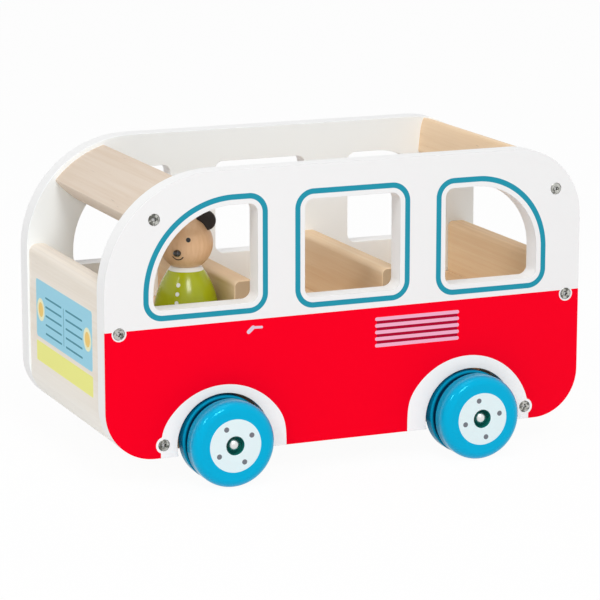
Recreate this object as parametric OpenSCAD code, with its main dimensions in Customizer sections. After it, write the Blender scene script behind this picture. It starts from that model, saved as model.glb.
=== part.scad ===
// Wooden toy bus with open roof, bench seats, free-turning wheels and a loose peg driver.
// Millimetres. X points forward, Y to the bus's left, Z up; the origin is on the ground under the middle.

/* [Body] */
// Length of the side panels
body_length = 280; // [264:1:310]
// Clear width between the two side panels
cabin_width = 121; // [112:1:140]
// Thickness of a side panel
panel_thickness = 12; // [10:0.5:14]
// Height of a side panel
panel_height = 152; // [146:1:166]
// Height of the panels' lower edge above the ground
ground_clearance = 17.5; // [15.5:0.5:19.5]
// Radius of the front upper corner of a side panel
front_top_radius = 63; // [56:1:66]
// Radius of the rear upper corner of a side panel
rear_top_radius = 39; // [36:1:42]
// Radius of the front lower corner of a side panel
front_low_radius = 33.5; // [28:0.5:36]
// Radius of the rear lower corner of a side panel
rear_low_radius = 25.5; // [22:0.5:30]

/* [Windows] */
// Height of the window sills above the panels' lower edge
window_sill = 79.4; // [77:0.2:82]
// Height of the window openings
window_height = 53.8; // [50:0.2:56]
// Radius of the small window corners
window_corner_radius = 7; // [4:0.5:9]
// Distance from the panel's front edge to the front window
front_window_inset = 27.4; // [25:0.2:30]
// Length of the front window
front_window_length = 59.3; // [56:0.2:62]
// Radius of the front window's upper front corner
front_window_radius = 42.4; // [38:0.2:44]
// Width of the posts between windows
post_width = 27.2; // [22:0.2:29]
// Length of the middle window
middle_window_length = 56.2; // [50:0.2:58]
// Length of the rear window
rear_window_length = 55.9; // [52:0.2:58]
// Radius of the rear window's upper rear corner
rear_window_radius = 34.1; // [30:0.2:38]

/* [Boards] */
// Thickness of the front, rear and seat-back boards
board_thickness = 12; // [10:0.5:13]
// How far the front board lies inside the panels' front end
front_board_inset = 1.2; // [0:0.1:2.5]
// How far the rear board lies inside the panels' rear end
rear_board_inset = 5; // [0:0.5:6]
// Height of the front board's top above the panels' lower edge
front_board_top = 93.5; // [90:0.5:98]
// Height of the rear board's top above the panels' lower edge
rear_board_top = 87.5; // [84:0.5:94]
// Radius of the front board's rounded top edges
front_board_edge_radius = 4.5; // [2:0.5:5]
// Radius of the other boards' rounded top edges
board_edge_radius = 3; // [1:0.5:4]
// Thickness of the floor board
floor_thickness = 12; // [11:0.5:14]

/* [Headers] */
// Thickness of the curved roof headers
header_thickness = 17; // [14:0.5:18]
// How far the headers lie inside the panels' outer edge
header_inset = 2; // [1:0.5:3]
// Angle of the front header's lower end above the horizontal
front_header_low_angle = 38; // [34:1:42]
// Angle of the front header's upper end above the horizontal
front_header_high_angle = 77; // [72:1:82]
// Angle of the rear header's upper end
rear_header_high_angle = 96; // [92:1:100]
// Angle of the rear header's lower end
rear_header_low_angle = 160; // [150:1:166]

/* [Benches] */
// Height of the seat tops above the floor board
seat_rise = 45.5; // [40:0.5:50]
// Depth of the bench seats
seat_depth = 38; // [36.5:0.5:42]
// Thickness of the bench seats
seat_thickness = 12; // [9:0.5:14]
// Height of the seat-backs above the floor board
seat_back_height = 77; // [70:0.5:82]
// Distance from the front board to the front seat-back
front_leg_room = 64.8; // [62:0.2:70]
// Distance from one seat-back to the next
bench_pitch = 87; // [82:0.5:92]

/* [Wheels] */
// Diameter of the wheels
wheel_d = 47.3; // [45:0.1:50]
// Width of the wheels
wheel_width = 25; // [23:0.5:26.5]
// How far the wheels' outer faces stand out past the panels
wheel_reach = 16.5; // [15.5:0.5:18]
// Distance of the front axle from the panels' front end
front_axle_inset = 66.9; // [64:0.1:70]
// Distance between the two axles
wheelbase = 146.2; // [140:0.2:152]
// Gap between a wheel and its arch, to the front and rear
arch_gap = 3.15; // [2.4:0.05:4]
// How far the arch's centre lies below the axle
arch_drop = 1.65; // [1:0.05:2]
// Width of the outer tread band
outer_band_width = 11.3; // [10:0.1:12]
// Width of the groove round the tread
tread_groove_width = 5; // [3:0.5:6]
// Depth of the groove round the tread
tread_groove_depth = 3; // [1.5:0.5:4]
// Rounding of the wheel's outer edge
wheel_outer_round = 5; // [3:0.5:6]
// Rounding of the wheel's inner edge
wheel_inner_round = 2; // [1:0.5:3]
// Rounding of the groove's edges
groove_round = 1; // [0.5:0.1:1.5]
// Diameter of the recess in the wheel's outer face
recess_d = 10.4; // [9.4:0.1:12]
// Depth of the recess in the wheel's outer face
recess_depth = 5; // [4.8:0.1:7]

/* [Axles] */
// Diameter of the steel axles
axle_d = 5; // [4:0.1:5.6]
// Radial running clearance of the wheels on the axles
running_clearance = 0.05; // [0.02:0.01:0.1]
// Diameter of the domed axle caps
cap_d = 7.6; // [7:0.1:8.4]
// Height of the domed axle caps
cap_height = 4; // [3.6:0.1:4.6]
// Thickness of the cap over the axle's end
cap_crown = 1.8; // [1.6:0.1:2]
// Diameter of the spacer washers behind the wheels
spacer_d = 14; // [11:0.5:18]

/* [Screws] */
// Diameter of the countersunk screw heads
screw_head_d = 6.4; // [5.6:0.1:7.4]
// Diameter of the screw shanks
screw_d = 3.5; // [3:0.1:4]
// Length of the screws
screw_length = 30; // [26:1:36]
// Length of the pointed screw tips
screw_tip = 3; // [2:0.5:4]
// Width of the slots in the cross recess
cross_slot = 0.9; // [0.6:0.1:1.2]
// Span of the cross recess
cross_span = 3.6; // [3:0.1:4.2]
// Depth of the cross recess
cross_depth = 1.2; // [0.8:0.1:1.4]
// Distance of the front and rear board screws from the panel's ends
board_screw_inset = 8; // [7:0.5:9]
// Height of the board screws above the panels' lower edge
board_screw_height = 68.7; // [60:0.1:74]
// Distance of the floor screws from the panel's ends
floor_screw_inset = 32.5; // [30:0.5:34]
// Distance of the bench screws from the middle of the floor
bench_screw_offset = 40; // [30:1:50]

/* [Driver] */
// Diameter of the driver's base
driver_base_d = 36; // [32:0.5:36]
// Height of the straight lower part of the driver's body
driver_skirt = 8; // [5:0.5:12]
// Height of the driver's body up to the neck
driver_body_height = 37; // [34:0.5:40]
// Diameter of the driver's neck
driver_neck_d = 16; // [13:0.5:18]
// Diameter of the driver's ball head
driver_head_d = 29.6; // [27:0.1:31]
// Distance of the driver's middle from the left side panel
driver_offset = 25.5; // [20.5:1:100.5]
// Direction the driver faces, from straight ahead towards the left
driver_turn = 51; // [0:1:90]
// Diameter of the dowel that joins head and body
dowel_d = 6; // [5:0.5:8]
// Length of the dowel that joins head and body
dowel_length = 16; // [12:0.5:18]
// Diameter of the felt ears
ear_d = 11; // [9:0.5:12]
// Thickness of the felt ears
ear_thickness = 2; // [1.5:0.1:3]
// Angle of the ears from the top of the head
ear_angle = 42; // [35:1:50]
// How deep the ears are set in their slots
ear_seat = 3; // [2:0.1:4]
// Diameter of the bead nose
nose_d = 4.4; // [3.4:0.1:5]
// Share of the nose bead that is set in the head
nose_set_share = 0.4; // [0.3:0.05:0.6]
// Angle of the nose below level
nose_drop = 12; // [0:1:20]
// Gap between the driver and what it stands on or by
driver_gap = 0.2; // [0.1:0.1:0.5]

/* [Hidden] */
$fn = 96;

// Overrun of every cut past the face it opens
cut = 1;
// Clearance of pegs, screws, strips and caps in their holes
seat_clearance = 0.04;
// Gap between a turning wheel and the spacer or cap beside it
side_gap = 0.3;
left = 1;
right = -1;

// Side panels
panel_low = ground_clearance;
panel_high = ground_clearance + panel_height;
front_end = body_length / 2;
rear_end = -body_length / 2;
inner_face = cabin_width / 2;
outer_face = inner_face + panel_thickness;
front_corner = [front_end - front_top_radius, panel_high - front_top_radius];
rear_corner = [rear_end + rear_top_radius, panel_high - rear_top_radius];

// Windows, from front to rear
sill_z = panel_low + window_sill;
window_top_z = sill_z + window_height;
front_window_front = front_end - front_window_inset;
front_window_rear = front_window_front - front_window_length;
middle_window_front = front_window_rear - post_width;
middle_window_rear = middle_window_front - middle_window_length;
rear_window_front = middle_window_rear - post_width;
rear_window_rear = rear_window_front - rear_window_length;

// Floor, boards and benches
floor_top = panel_low + floor_thickness;
floor_middle = panel_low + floor_thickness / 2;
front_board_back = front_end - front_board_inset - board_thickness;
rear_board_back = rear_end + rear_board_inset + board_thickness;
seat_top = floor_top + seat_rise;
front_seat_back_face = front_board_back - front_leg_room;
middle_seat_back_face = front_seat_back_face - bench_pitch;

// Wheels and axles
wheel_r = wheel_d / 2;
axle_r = axle_d / 2;
axle_z = wheel_r;
front_axle_x = front_end - front_axle_inset;
rear_axle_x = front_axle_x - wheelbase;
wheel_outer_face = outer_face + wheel_reach;
wheel_inner_face = wheel_outer_face - wheel_width;
arch_r = wheel_r + arch_gap;
arch_z = axle_z - arch_drop;
cap_base = wheel_outer_face - recess_depth + side_gap;
axle_end = cap_base + cap_height - cap_crown;
keeper_top = axle_z - axle_r - seat_clearance;

// Headers
front_header_r = front_top_radius - header_inset;
rear_header_r = rear_top_radius - header_inset;
front_header_screw_share = 0.27;
rear_header_screw_share = 0.79;

// Driver
driver_base_z = seat_top + driver_gap;
driver_x = front_seat_back_face + driver_gap + driver_base_d / 2;
driver_y = inner_face - driver_offset;
neck_z = driver_base_z + driver_body_height;
head_r = driver_head_d / 2;
head_drop = sqrt(pow(head_r, 2) - pow(driver_neck_d / 2, 2));
shoulder_height = driver_body_height - driver_skirt;
shoulder_step = (driver_base_d - driver_neck_d) / 2;
shoulder_r = (pow(shoulder_height, 2) + pow(shoulder_step, 2)) / (2 * shoulder_step);

function header_spot(corner, radius, low_angle, high_angle, share) =
    let (angle = low_angle + share * (high_angle - low_angle))
    corner + (radius - header_thickness / 2) * [cos(angle), sin(angle)];

// Places of the panel screws, front half then rear half
screw_spots = [
    header_spot(front_corner, front_header_r, front_header_low_angle, front_header_high_angle,
        front_header_screw_share),
    [front_end - board_screw_inset, panel_low + board_screw_height],
    [front_end - floor_screw_inset, floor_middle],
    header_spot(rear_corner, rear_header_r, rear_header_high_angle, rear_header_low_angle,
        rear_header_screw_share),
    [rear_end + board_screw_inset, panel_low + board_screw_height],
    [rear_end + floor_screw_inset, floor_middle]
];

// Middles of the boards that stand on the floor
standing_board_spots = [
    front_seat_back_face - board_thickness / 2,
    front_seat_back_face + seat_depth - board_thickness / 2,
    middle_seat_back_face - board_thickness / 2,
    middle_seat_back_face + seat_depth - board_thickness / 2,
    rear_board_back + seat_depth - board_thickness / 2
];

// Outline with its own radius at each corner, in the order front top, rear top, rear low, front low
module round_outline(low, high, radii) {
    corners = [[high.x, high.y], [low.x, high.y], [low.x, low.y], [high.x, low.y]];
    inward = [[-1, -1], [1, -1], [1, 1], [-1, 1]];
    polygon([for (i = [0:3])
        let (along_x = [inward[i].x * radii[i], 0], along_y = [0, inward[i].y * radii[i]])
        each radii[i] == 0 ? [corners[i]]
            : i % 2 == 0 ? [corners[i] + along_y, corners[i] + along_x]
            : [corners[i] + along_x, corners[i] + along_y]]);
    for (i = [0:3])
        if (radii[i] > 0) {
            middle = corners[i] + radii[i] * inward[i];
            intersection() {
                translate(middle) circle(r = radii[i]);
                translate([min(middle.x, corners[i].x), min(middle.y, corners[i].y)]) square(radii[i]);
            }
        }
}

// Stands an outline drawn in X and Z upright and gives it a thickness along Y
module upright(thickness) {
    rotate([90, 0, 0]) linear_extrude(thickness, center = true) children();
}

// Puts its children on the left or the right of the bus
module on_side(side) {
    mirror([0, side == right ? 1 : 0, 0]) children();
}

// Points the local Z axis outward at a place on a side
module outward(spot, y, side) {
    on_side(side) translate([spot.x, y, spot.y]) rotate([-90, 0, 0]) children();
}

module panel_outline() {
    round_outline([rear_end, panel_low], [front_end, panel_high],
        [front_top_radius, rear_top_radius, rear_low_radius, front_low_radius]);
}

module window_outlines() {
    small = window_corner_radius;
    round_outline([front_window_rear, sill_z], [front_window_front, window_top_z],
        [front_window_radius, small, small, small]);
    round_outline([middle_window_rear, sill_z], [middle_window_front, window_top_z],
        [small, small, small, small]);
    round_outline([rear_window_rear, sill_z], [rear_window_front, window_top_z],
        [small, rear_window_radius, small, small]);
}

module arch_outlines() {
    for (x = [front_axle_x, rear_axle_x])
        translate([x, arch_z]) circle(r = arch_r);
}

// Screw with its head at the origin and its shank along -Z
module screw() {
    head_height = (screw_head_d - screw_d) / 2;
    difference() {
        rotate_extrude()
            polygon([[0, 0], [screw_head_d / 2, 0], [screw_d / 2, -head_height],
                [screw_d / 2, screw_tip - screw_length], [0, -screw_length]]);
        for (turn = [0, 90])
            rotate([0, 0, turn]) translate([-cross_span / 2, -cross_slot / 2, -cross_depth])
                cube([cross_span, cross_slot, cross_depth + cut]);
    }
}

// Countersunk hole for a screw, a little larger than the screw
module screw_hole() {
    head_height = (screw_head_d - screw_d) / 2;
    hole_r = screw_d / 2 + seat_clearance;
    translate([0, 0, -screw_length - seat_clearance]) cylinder(r = hole_r, h = screw_length + cut);
    translate([0, 0, -head_height]) cylinder(r1 = hole_r, r2 = screw_head_d / 2 + seat_clearance, h = head_height);
    cylinder(r = screw_head_d / 2 + seat_clearance, h = cut);
}

module panel_screw_holes(sides) {
    for (side = sides, spot = screw_spots)
        outward(spot, outer_face, side) screw_hole();
}

module bench_screw_spots() {
    for (x = standing_board_spots, side = [left, right])
        translate([x, side * bench_screw_offset, panel_low]) rotate([180, 0, 0]) children();
}

module side_panel(side) {
    difference() {
        on_side(side) translate([0, inner_face + panel_thickness / 2, 0]) upright(panel_thickness)
            difference() {
                panel_outline();
                window_outlines();
                arch_outlines();
            }
        panel_screw_holes([side]);
    }
}

module left_side_panel() { color("whitesmoke") side_panel(left); }
module right_side_panel() { color("whitesmoke") side_panel(right); }

// Board between the panels that follows their outline, with a rounded top
module end_board(low_x, top, edge) {
    difference() {
        upright(cabin_width) intersection() {
            panel_outline();
            round_outline([low_x, panel_low], [low_x + board_thickness, panel_low + top],
                [edge, edge, 0, 0]);
        }
        panel_screw_holes([left, right]);
    }
}

module front_board() {
    color("bisque") end_board(front_board_back, front_board_top, front_board_edge_radius);
}

module rear_board() {
    color("bisque") end_board(rear_board_back - board_thickness, rear_board_top, board_edge_radius);
}

// Curved header that follows a panel's upper corner between two angles
module header(corner, radius, low_angle, high_angle) {
    reach = 2 * radius;
    difference() {
        upright(cabin_width) translate(corner) intersection() {
            difference() {
                circle(r = radius);
                circle(r = radius - header_thickness);
            }
            polygon([[0, 0], reach * [cos(low_angle), sin(low_angle)],
                reach * [cos(high_angle), sin(high_angle)]]);
        }
        panel_screw_holes([left, right]);
    }
}

module front_header() {
    color("burlywood") header(front_corner, front_header_r, front_header_low_angle, front_header_high_angle);
}

module rear_header() {
    color("burlywood") header(rear_corner, rear_header_r, rear_header_high_angle, rear_header_low_angle);
}

// Slot under the floor that takes an axle and its keeper strip
module axle_slot(x) {
    slot_r = axle_r + running_clearance;
    translate([x, 0, axle_z]) rotate([90, 0, 0]) cylinder(r = slot_r, h = cabin_width + 2 * cut, center = true);
    translate([x - slot_r, -inner_face - cut, panel_low - cut])
        cube([2 * slot_r, cabin_width + 2 * cut, axle_z - panel_low + cut]);
}

module floor_board() {
    color("tan") difference() {
        upright(cabin_width) intersection() {
            panel_outline();
            translate([rear_board_back, panel_low])
                square([front_board_back - rear_board_back, floor_thickness]);
        }
        axle_slot(front_axle_x);
        axle_slot(rear_axle_x);
        panel_screw_holes([left, right]);
        bench_screw_spots() screw_hole();
    }
}

// Board that stands on the floor, with screws from below
module standing_board(low_x, height, edge) {
    difference() {
        upright(cabin_width) round_outline([low_x, floor_top], [low_x + board_thickness, floor_top + height],
            [edge, edge, 0, 0]);
        bench_screw_spots() screw_hole();
    }
}

module bench_back(face) { standing_board(face - board_thickness, seat_back_height, board_edge_radius); }

module bench_riser(face) { standing_board(face + seat_depth - board_thickness, seat_rise - seat_thickness, 0); }

module bench_seat(face) {
    upright(cabin_width) round_outline([face, seat_top - seat_thickness], [face + seat_depth, seat_top],
        [board_edge_radius, 0, 0, 0]);
}

module front_bench_back() { color("burlywood") bench_back(front_seat_back_face); }
module front_bench_seat() { color("wheat") bench_seat(front_seat_back_face); }
module front_bench_riser() { color("tan") bench_riser(front_seat_back_face); }
module middle_bench_back() { color("burlywood") bench_back(middle_seat_back_face); }
module middle_bench_seat() { color("wheat") bench_seat(middle_seat_back_face); }
module middle_bench_riser() { color("tan") bench_riser(middle_seat_back_face); }
module rear_bench_seat() { color("wheat") bench_seat(rear_board_back); }
module rear_bench_riser() { color("tan") bench_riser(rear_board_back); }

module axle(x) {
    translate([x, 0, axle_z]) rotate([90, 0, 0]) cylinder(r = axle_r, h = 2 * axle_end, center = true);
}

module front_axle() { color("silver") axle(front_axle_x); }
module rear_axle() { color("silver") axle(rear_axle_x); }

// Strip glued into the slot under an axle
module axle_keeper(x) {
    width = 2 * (axle_r + running_clearance - seat_clearance);
    translate([x - width / 2, -inner_face, panel_low]) cube([width, cabin_width, keeper_top - panel_low]);
}

module front_axle_keeper() { color("peru") axle_keeper(front_axle_x); }
module rear_axle_keeper() { color("peru") axle_keeper(rear_axle_x); }

// Half section of a wheel: radius along X, depth from the inner face along Y
module wheel_section() {
    bore_r = axle_r + running_clearance;
    groove_top = wheel_width - outer_band_width;
    groove_low = groove_top - tread_groove_width;
    difference() {
        union() {
            round_outline([bore_r, 0], [wheel_r, groove_low], [groove_round, 0, 0, wheel_inner_round]);
            translate([bore_r, 0]) square([wheel_r - tread_groove_depth - bore_r, wheel_width - wheel_outer_round]);
            round_outline([bore_r, groove_top], [wheel_r, wheel_width], [wheel_outer_round, 0, 0, groove_round]);
        }
        translate([0, wheel_width - recess_depth]) square([recess_d / 2, recess_depth + cut]);
    }
}

module wheel(x, side) {
    color("deepskyblue") outward([x, axle_z], wheel_inner_face, side) rotate_extrude() wheel_section();
}

module front_left_wheel() { wheel(front_axle_x, left); }
module front_right_wheel() { wheel(front_axle_x, right); }
module rear_left_wheel() { wheel(rear_axle_x, left); }
module rear_right_wheel() { wheel(rear_axle_x, right); }

// Washer on the axle between the floor's edge and a wheel
module spacer(x, side) {
    color("dimgray") outward([x, axle_z], inner_face, side) difference() {
        cylinder(d = spacer_d, h = wheel_inner_face - inner_face - side_gap);
        translate([0, 0, -cut]) cylinder(r = axle_r + seat_clearance, h = wheel_inner_face - inner_face + 2 * cut);
    }
}

module front_left_spacer() { spacer(front_axle_x, left); }
module front_right_spacer() { spacer(front_axle_x, right); }
module rear_left_spacer() { spacer(rear_axle_x, left); }
module rear_right_spacer() { spacer(rear_axle_x, right); }

// Domed cap pressed on the axle's end inside the wheel's recess
module axle_cap(x, side) {
    cap_r = cap_d / 2;
    color("gainsboro") outward([x, axle_z], cap_base, side) difference() {
        rotate_extrude() intersection() {
            square([cap_r, cap_height]);
            translate([0, cap_height - cap_r]) union() {
                circle(r = cap_r);
                translate([0, -cap_height]) square([cap_r, cap_height]);
            }
        }
        translate([0, 0, -cut]) cylinder(r = axle_r + seat_clearance, h = axle_end - cap_base + seat_clearance + cut);
    }
}

module front_left_cap() { axle_cap(front_axle_x, left); }
module front_right_cap() { axle_cap(front_axle_x, right); }
module rear_left_cap() { axle_cap(rear_axle_x, left); }
module rear_right_cap() { axle_cap(rear_axle_x, right); }

module panel_screws(side) {
    color("gray") for (spot = screw_spots) outward(spot, outer_face, side) screw();
}

module left_panel_screws() { panel_screws(left); }
module right_panel_screws() { panel_screws(right); }
module bench_screws() { color("gray") bench_screw_spots() screw(); }

// Stands the driver's pieces on the seat, turned to face the way it looks; local X is the face's side
module at_driver(z) {
    translate([driver_x, driver_y, z]) rotate([0, 0, driver_turn]) children();
}

// Hole for the dowel, centred on the neck
module dowel_hole() {
    cylinder(r = dowel_d / 2 + seat_clearance, h = dowel_length + 2 * seat_clearance, center = true);
}

module driver_body() {
    color("yellowgreen") difference() {
        at_driver(driver_base_z) rotate_extrude() union() {
            square([driver_base_d / 2, driver_skirt]);
            intersection() {
                translate([driver_base_d / 2 - shoulder_r, driver_skirt]) circle(r = shoulder_r);
                translate([0, driver_skirt]) square([driver_base_d / 2, shoulder_height]);
            }
        }
        at_driver(neck_z) dowel_hole();
    }
}

// Places the ears: discs that stand across the head, set into slots at its top sides
module ear_spot(side, extra) {
    at_driver(neck_z + head_drop) rotate([-side * ear_angle, 0, 0])
        translate([0, 0, head_r + ear_d / 2 - ear_seat]) rotate([0, 90, 0])
            cylinder(d = ear_d + 2 * extra, h = ear_thickness + 2 * extra, center = true);
}

module nose_spot(extra) {
    at_driver(neck_z + head_drop) rotate([0, nose_drop, 0])
        translate([head_r + nose_d / 2 - nose_set_share * nose_d, 0, 0]) sphere(r = nose_d / 2 + extra);
}

module driver_head() {
    color("tan") difference() {
        at_driver(neck_z + head_drop) rotate_extrude() intersection() {
            circle(r = head_r);
            translate([0, -head_drop]) square([head_r, head_drop + head_r]);
        }
        at_driver(neck_z) dowel_hole();
        ear_spot(left, seat_clearance);
        ear_spot(right, seat_clearance);
        nose_spot(seat_clearance);
    }
}

module driver_neck_dowel() {
    color("peru") at_driver(neck_z) cylinder(r = dowel_d / 2, h = dowel_length, center = true);
}

module driver_left_ear() { color("saddlebrown") ear_spot(left, 0); }
module driver_right_ear() { color("saddlebrown") ear_spot(right, 0); }
module driver_nose() { color("black") nose_spot(0); }

left_side_panel();
right_side_panel();
front_board();
rear_board();
front_header();
rear_header();
floor_board();
front_bench_back();
front_bench_seat();
front_bench_riser();
middle_bench_back();
middle_bench_seat();
middle_bench_riser();
rear_bench_seat();
rear_bench_riser();
front_axle();
rear_axle();
front_axle_keeper();
rear_axle_keeper();
front_left_wheel();
front_right_wheel();
rear_left_wheel();
rear_right_wheel();
front_left_spacer();
front_right_spacer();
rear_left_spacer();
rear_right_spacer();
front_left_cap();
front_right_cap();
rear_left_cap();
rear_right_cap();
left_panel_screws();
right_panel_screws();
bench_screws();
driver_body();
driver_head();
driver_neck_dowel();
driver_left_ear();
driver_right_ear();
driver_nose();
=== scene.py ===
import math

import bmesh
import bpy
from bpy.props import FloatProperty, FloatVectorProperty, PointerProperty
from mathutils import Matrix, Vector


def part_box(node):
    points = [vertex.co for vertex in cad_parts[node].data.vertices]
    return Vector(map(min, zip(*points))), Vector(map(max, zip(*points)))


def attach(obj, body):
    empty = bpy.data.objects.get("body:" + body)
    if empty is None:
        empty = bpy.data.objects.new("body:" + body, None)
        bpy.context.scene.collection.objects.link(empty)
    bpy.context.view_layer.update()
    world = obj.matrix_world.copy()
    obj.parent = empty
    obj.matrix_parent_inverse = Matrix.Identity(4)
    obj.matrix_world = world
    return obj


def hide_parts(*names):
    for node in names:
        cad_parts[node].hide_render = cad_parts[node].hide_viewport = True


bl_info = {
    "name": "Wooden Toy Bus",
    "version": (1, 0, 0),
    "blender": (4, 5, 0),
    "location": "View3D > Sidebar > Toy Bus",
    "description": "Dresses the toy bus with painted panels, bare wood, gloss wheels and a peg driver",
    "category": "Add Mesh",
}

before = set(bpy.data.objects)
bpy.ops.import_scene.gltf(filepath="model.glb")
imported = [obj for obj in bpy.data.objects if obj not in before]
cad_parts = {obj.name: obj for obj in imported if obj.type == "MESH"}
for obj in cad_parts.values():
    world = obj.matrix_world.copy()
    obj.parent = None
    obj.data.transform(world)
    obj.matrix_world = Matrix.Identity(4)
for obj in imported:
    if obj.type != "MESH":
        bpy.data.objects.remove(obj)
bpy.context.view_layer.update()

# Sides of the bus along Y
LEFT = 1
RIGHT = -1
SIDES = {"left": LEFT, "right": RIGHT}
ENDS = ("front", "rear")

# Bodies of the frame that the pieces ride on
BUS = "bus"
DRIVER = "driver"

# Slack when a corner, edge or face is looked up by its place
NEAR = 1e-5
# How far cutting tools reach past what they cut
OVERRUN = 0.004

# Segments of the round forms
OUTLINE_STEPS = 24
WINDOW_STEPS = 16
HEADER_STEPS = 10
EDGE_STEPS = 6
GROOVE_STEPS = 5
LIP_STEPS = 4
DOME_STEPS = 14
BALL_STEPS = 40
ROD_STEPS = 96
WHEEL_STEPS = 128
SMALL_STEPS = 64
TINY_STEPS = 48
# Angle in degrees at which the driver's head ends in a small flat, and those between which a cap's dome runs
CROWN = 88.5
CAP_ARC = (2, 88)
# Angles in degrees between two faces from which their edge is rounded, and from which it is shaded sharp
ROUNDED_FROM = 40
SHARP_FROM = 35
# Nearest and farthest that the camera sees, in metres
CLIP = (0.05, 50)

# Depths behind a face at which its print, paint or painted shade begins and is full
LEFT_PRINT = (0.0009, 0.0007)
RIGHT_PRINT = (0.0003, 0.0001)
FRONT_PRINT = (0.0006, 0.0004)
HUB_PRINT = (0.0006, 0.0003)
RECESS_SHADE = (0.0004, 0.0008)
# How deep the whiter paint of the panels' inner faces, painted light against the cabin's shade, fades out at
# their edges
INNER_FADE = 0.001
# Width over which the painted shade in a wheel's groove begins
GROOVE_SHADE_FADE = 0.0004

# Width over which a printed edge on the driver's body blurs
PRINT_BLUR = 0.0001

# Counts of printed marks
VENT_STRIPES = 5
GRILLE_LINES = 5
BUTTONS = 3
HUB_DOTS = 4

# Thickness of one layer of plywood
PLY = 0.0017
# Waves a metre across and along the grain, for the wood's broad figure, fine lines and pores
WOOD_FIGURE = ((70, 5), (520, 9), (1400, 90))

PANEL_LOW, PANEL_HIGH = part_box("left_side_panel")
WHEEL_LOW, WHEEL_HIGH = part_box("front_left_wheel")


def paint(red, green, blue):
    """Colour as a display shows it, 0 to 255, turned into the linear values that materials take."""
    shares = [level / 255 for level in (red, green, blue)]
    return [s / 12.92 if s <= 0.04045 else ((s + 0.055) / 1.055) ** 2.4 for s in shares]


def length(name, description, default):
    """Length setting in metres."""
    return FloatProperty(name=name, description=description, default=default, unit="LENGTH", precision=4)


def angle(name, description, degrees):
    """Angle setting, given in degrees."""
    return FloatProperty(name=name, description=description, default=math.radians(degrees), unit="ROTATION")


def colour(name, description, default):
    """Colour setting."""
    return FloatVectorProperty(name=name, description=description, default=default, subtype="COLOR",
                               min=0, max=1)


def spot(name, description, default):
    """Two lengths, such as a place on a printed face."""
    return FloatVectorProperty(name=name, description=description, default=default, size=2, unit="LENGTH",
                               precision=4)


def position(name, description, default):
    """Place in the scene."""
    return FloatVectorProperty(name=name, description=description, default=default, subtype="TRANSLATION",
                               unit="LENGTH")


def optics(name, description, default):
    """Measure of the camera in millimetres."""
    return FloatProperty(name=name, description=description, default=default, unit="CAMERA")


def power(name, description, default):
    """Power of a lamp in watts."""
    return FloatProperty(name=name, description=description, default=default, unit="POWER")


def factor(name, description, default):
    """Share between 0 and 1."""
    return FloatProperty(name=name, description=description, default=default, subtype="FACTOR", min=0, max=1)


def shade(tint, share):
    """Colour made darker or lighter."""
    return [share * level for level in tint]


class ToyBusBody(bpy.types.PropertyGroup):
    """Sizes of the panels, boards and headers."""

    front_top_radius: length("Front top radius", "Front upper corner of a side panel", 0.063)
    rear_top_radius: length("Rear top radius", "Rear upper corner of a side panel", 0.039)
    front_low_radius: length("Front low radius", "Front lower corner of a side panel", 0.0275)
    rear_low_radius: length("Rear low radius", "Rear lower corner of a side panel", 0.0265)
    low_drop: length("Low drop", "How far the painted panels reach below the solid ones", 0.001)
    edge_round: length("Edge rounding", "Rounding of the painted panels' edges", 0.0015)
    window_sill: length("Window sill", "Height of the sills above the panels' lower edge", 0.0794)
    window_height: length("Window height", "Height of the window openings", 0.0538)
    window_corner: length("Window corner", "Radius of the small window corners", 0.005)
    front_window_inset: length("Front window inset", "From the panel's front end to the front window", 0.0274)
    front_window_length: length("Front window length", "Length of the front window", 0.0593)
    front_window_radius: length("Front window radius", "Upper front corner of the front window", 0.046)
    post_width: length("Post width", "Width of the posts between windows", 0.0272)
    middle_window_length: length("Middle window length", "Length of the middle window", 0.0562)
    rear_window_length: length("Rear window length", "Length of the rear window", 0.0559)
    rear_window_radius: length("Rear window radius", "Upper rear corner of the rear window", 0.0368)
    arch_gap: length("Arch gap", "Gap between a wheel and its arch", 0.00315)
    arch_drop: length("Arch drop", "How far the arch's centre lies below the axle", 0.00165)
    front_board_round: length("Front board rounding", "Rounding of the front board's top edges", 0.0045)
    board_top_round: length("Board top rounding", "Rounding of the other boards' top edges", 0.003)
    board_edge_round: length("Board edge rounding", "Softening of the boards' other edges", 0.0007)
    front_header_depth: length("Front header depth", "Thickness of the curved front header", 0.017)
    rear_header_depth: length("Rear header depth", "Thickness of the curved rear header", 0.0205)
    front_header_inset: length("Front header inset", "Gap from the outline to the front header", 0.0025)
    rear_header_inset: length("Rear header inset", "Gap from the outline to the rear header", 0.0008)
    front_header_low: angle("Front header low end", "Angle of the front header's lower end", 40)
    front_header_high: angle("Front header high end", "Angle of the front header's upper end", 75.5)
    rear_header_high: angle("Rear header high end", "Angle of the rear header's upper end", 96)
    rear_header_low: angle("Rear header low end", "Angle of the rear header's lower end", 160)
    front_header_round: length("Front header rounding", "Rounding of the front header's outer edges", 0.0105)
    rear_header_round: length("Rear header rounding", "Rounding of the rear header's outer edges", 0.0095)
    header_inner_round: length("Header inner rounding", "Rounding of the headers' inner edges", 0.002)


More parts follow.
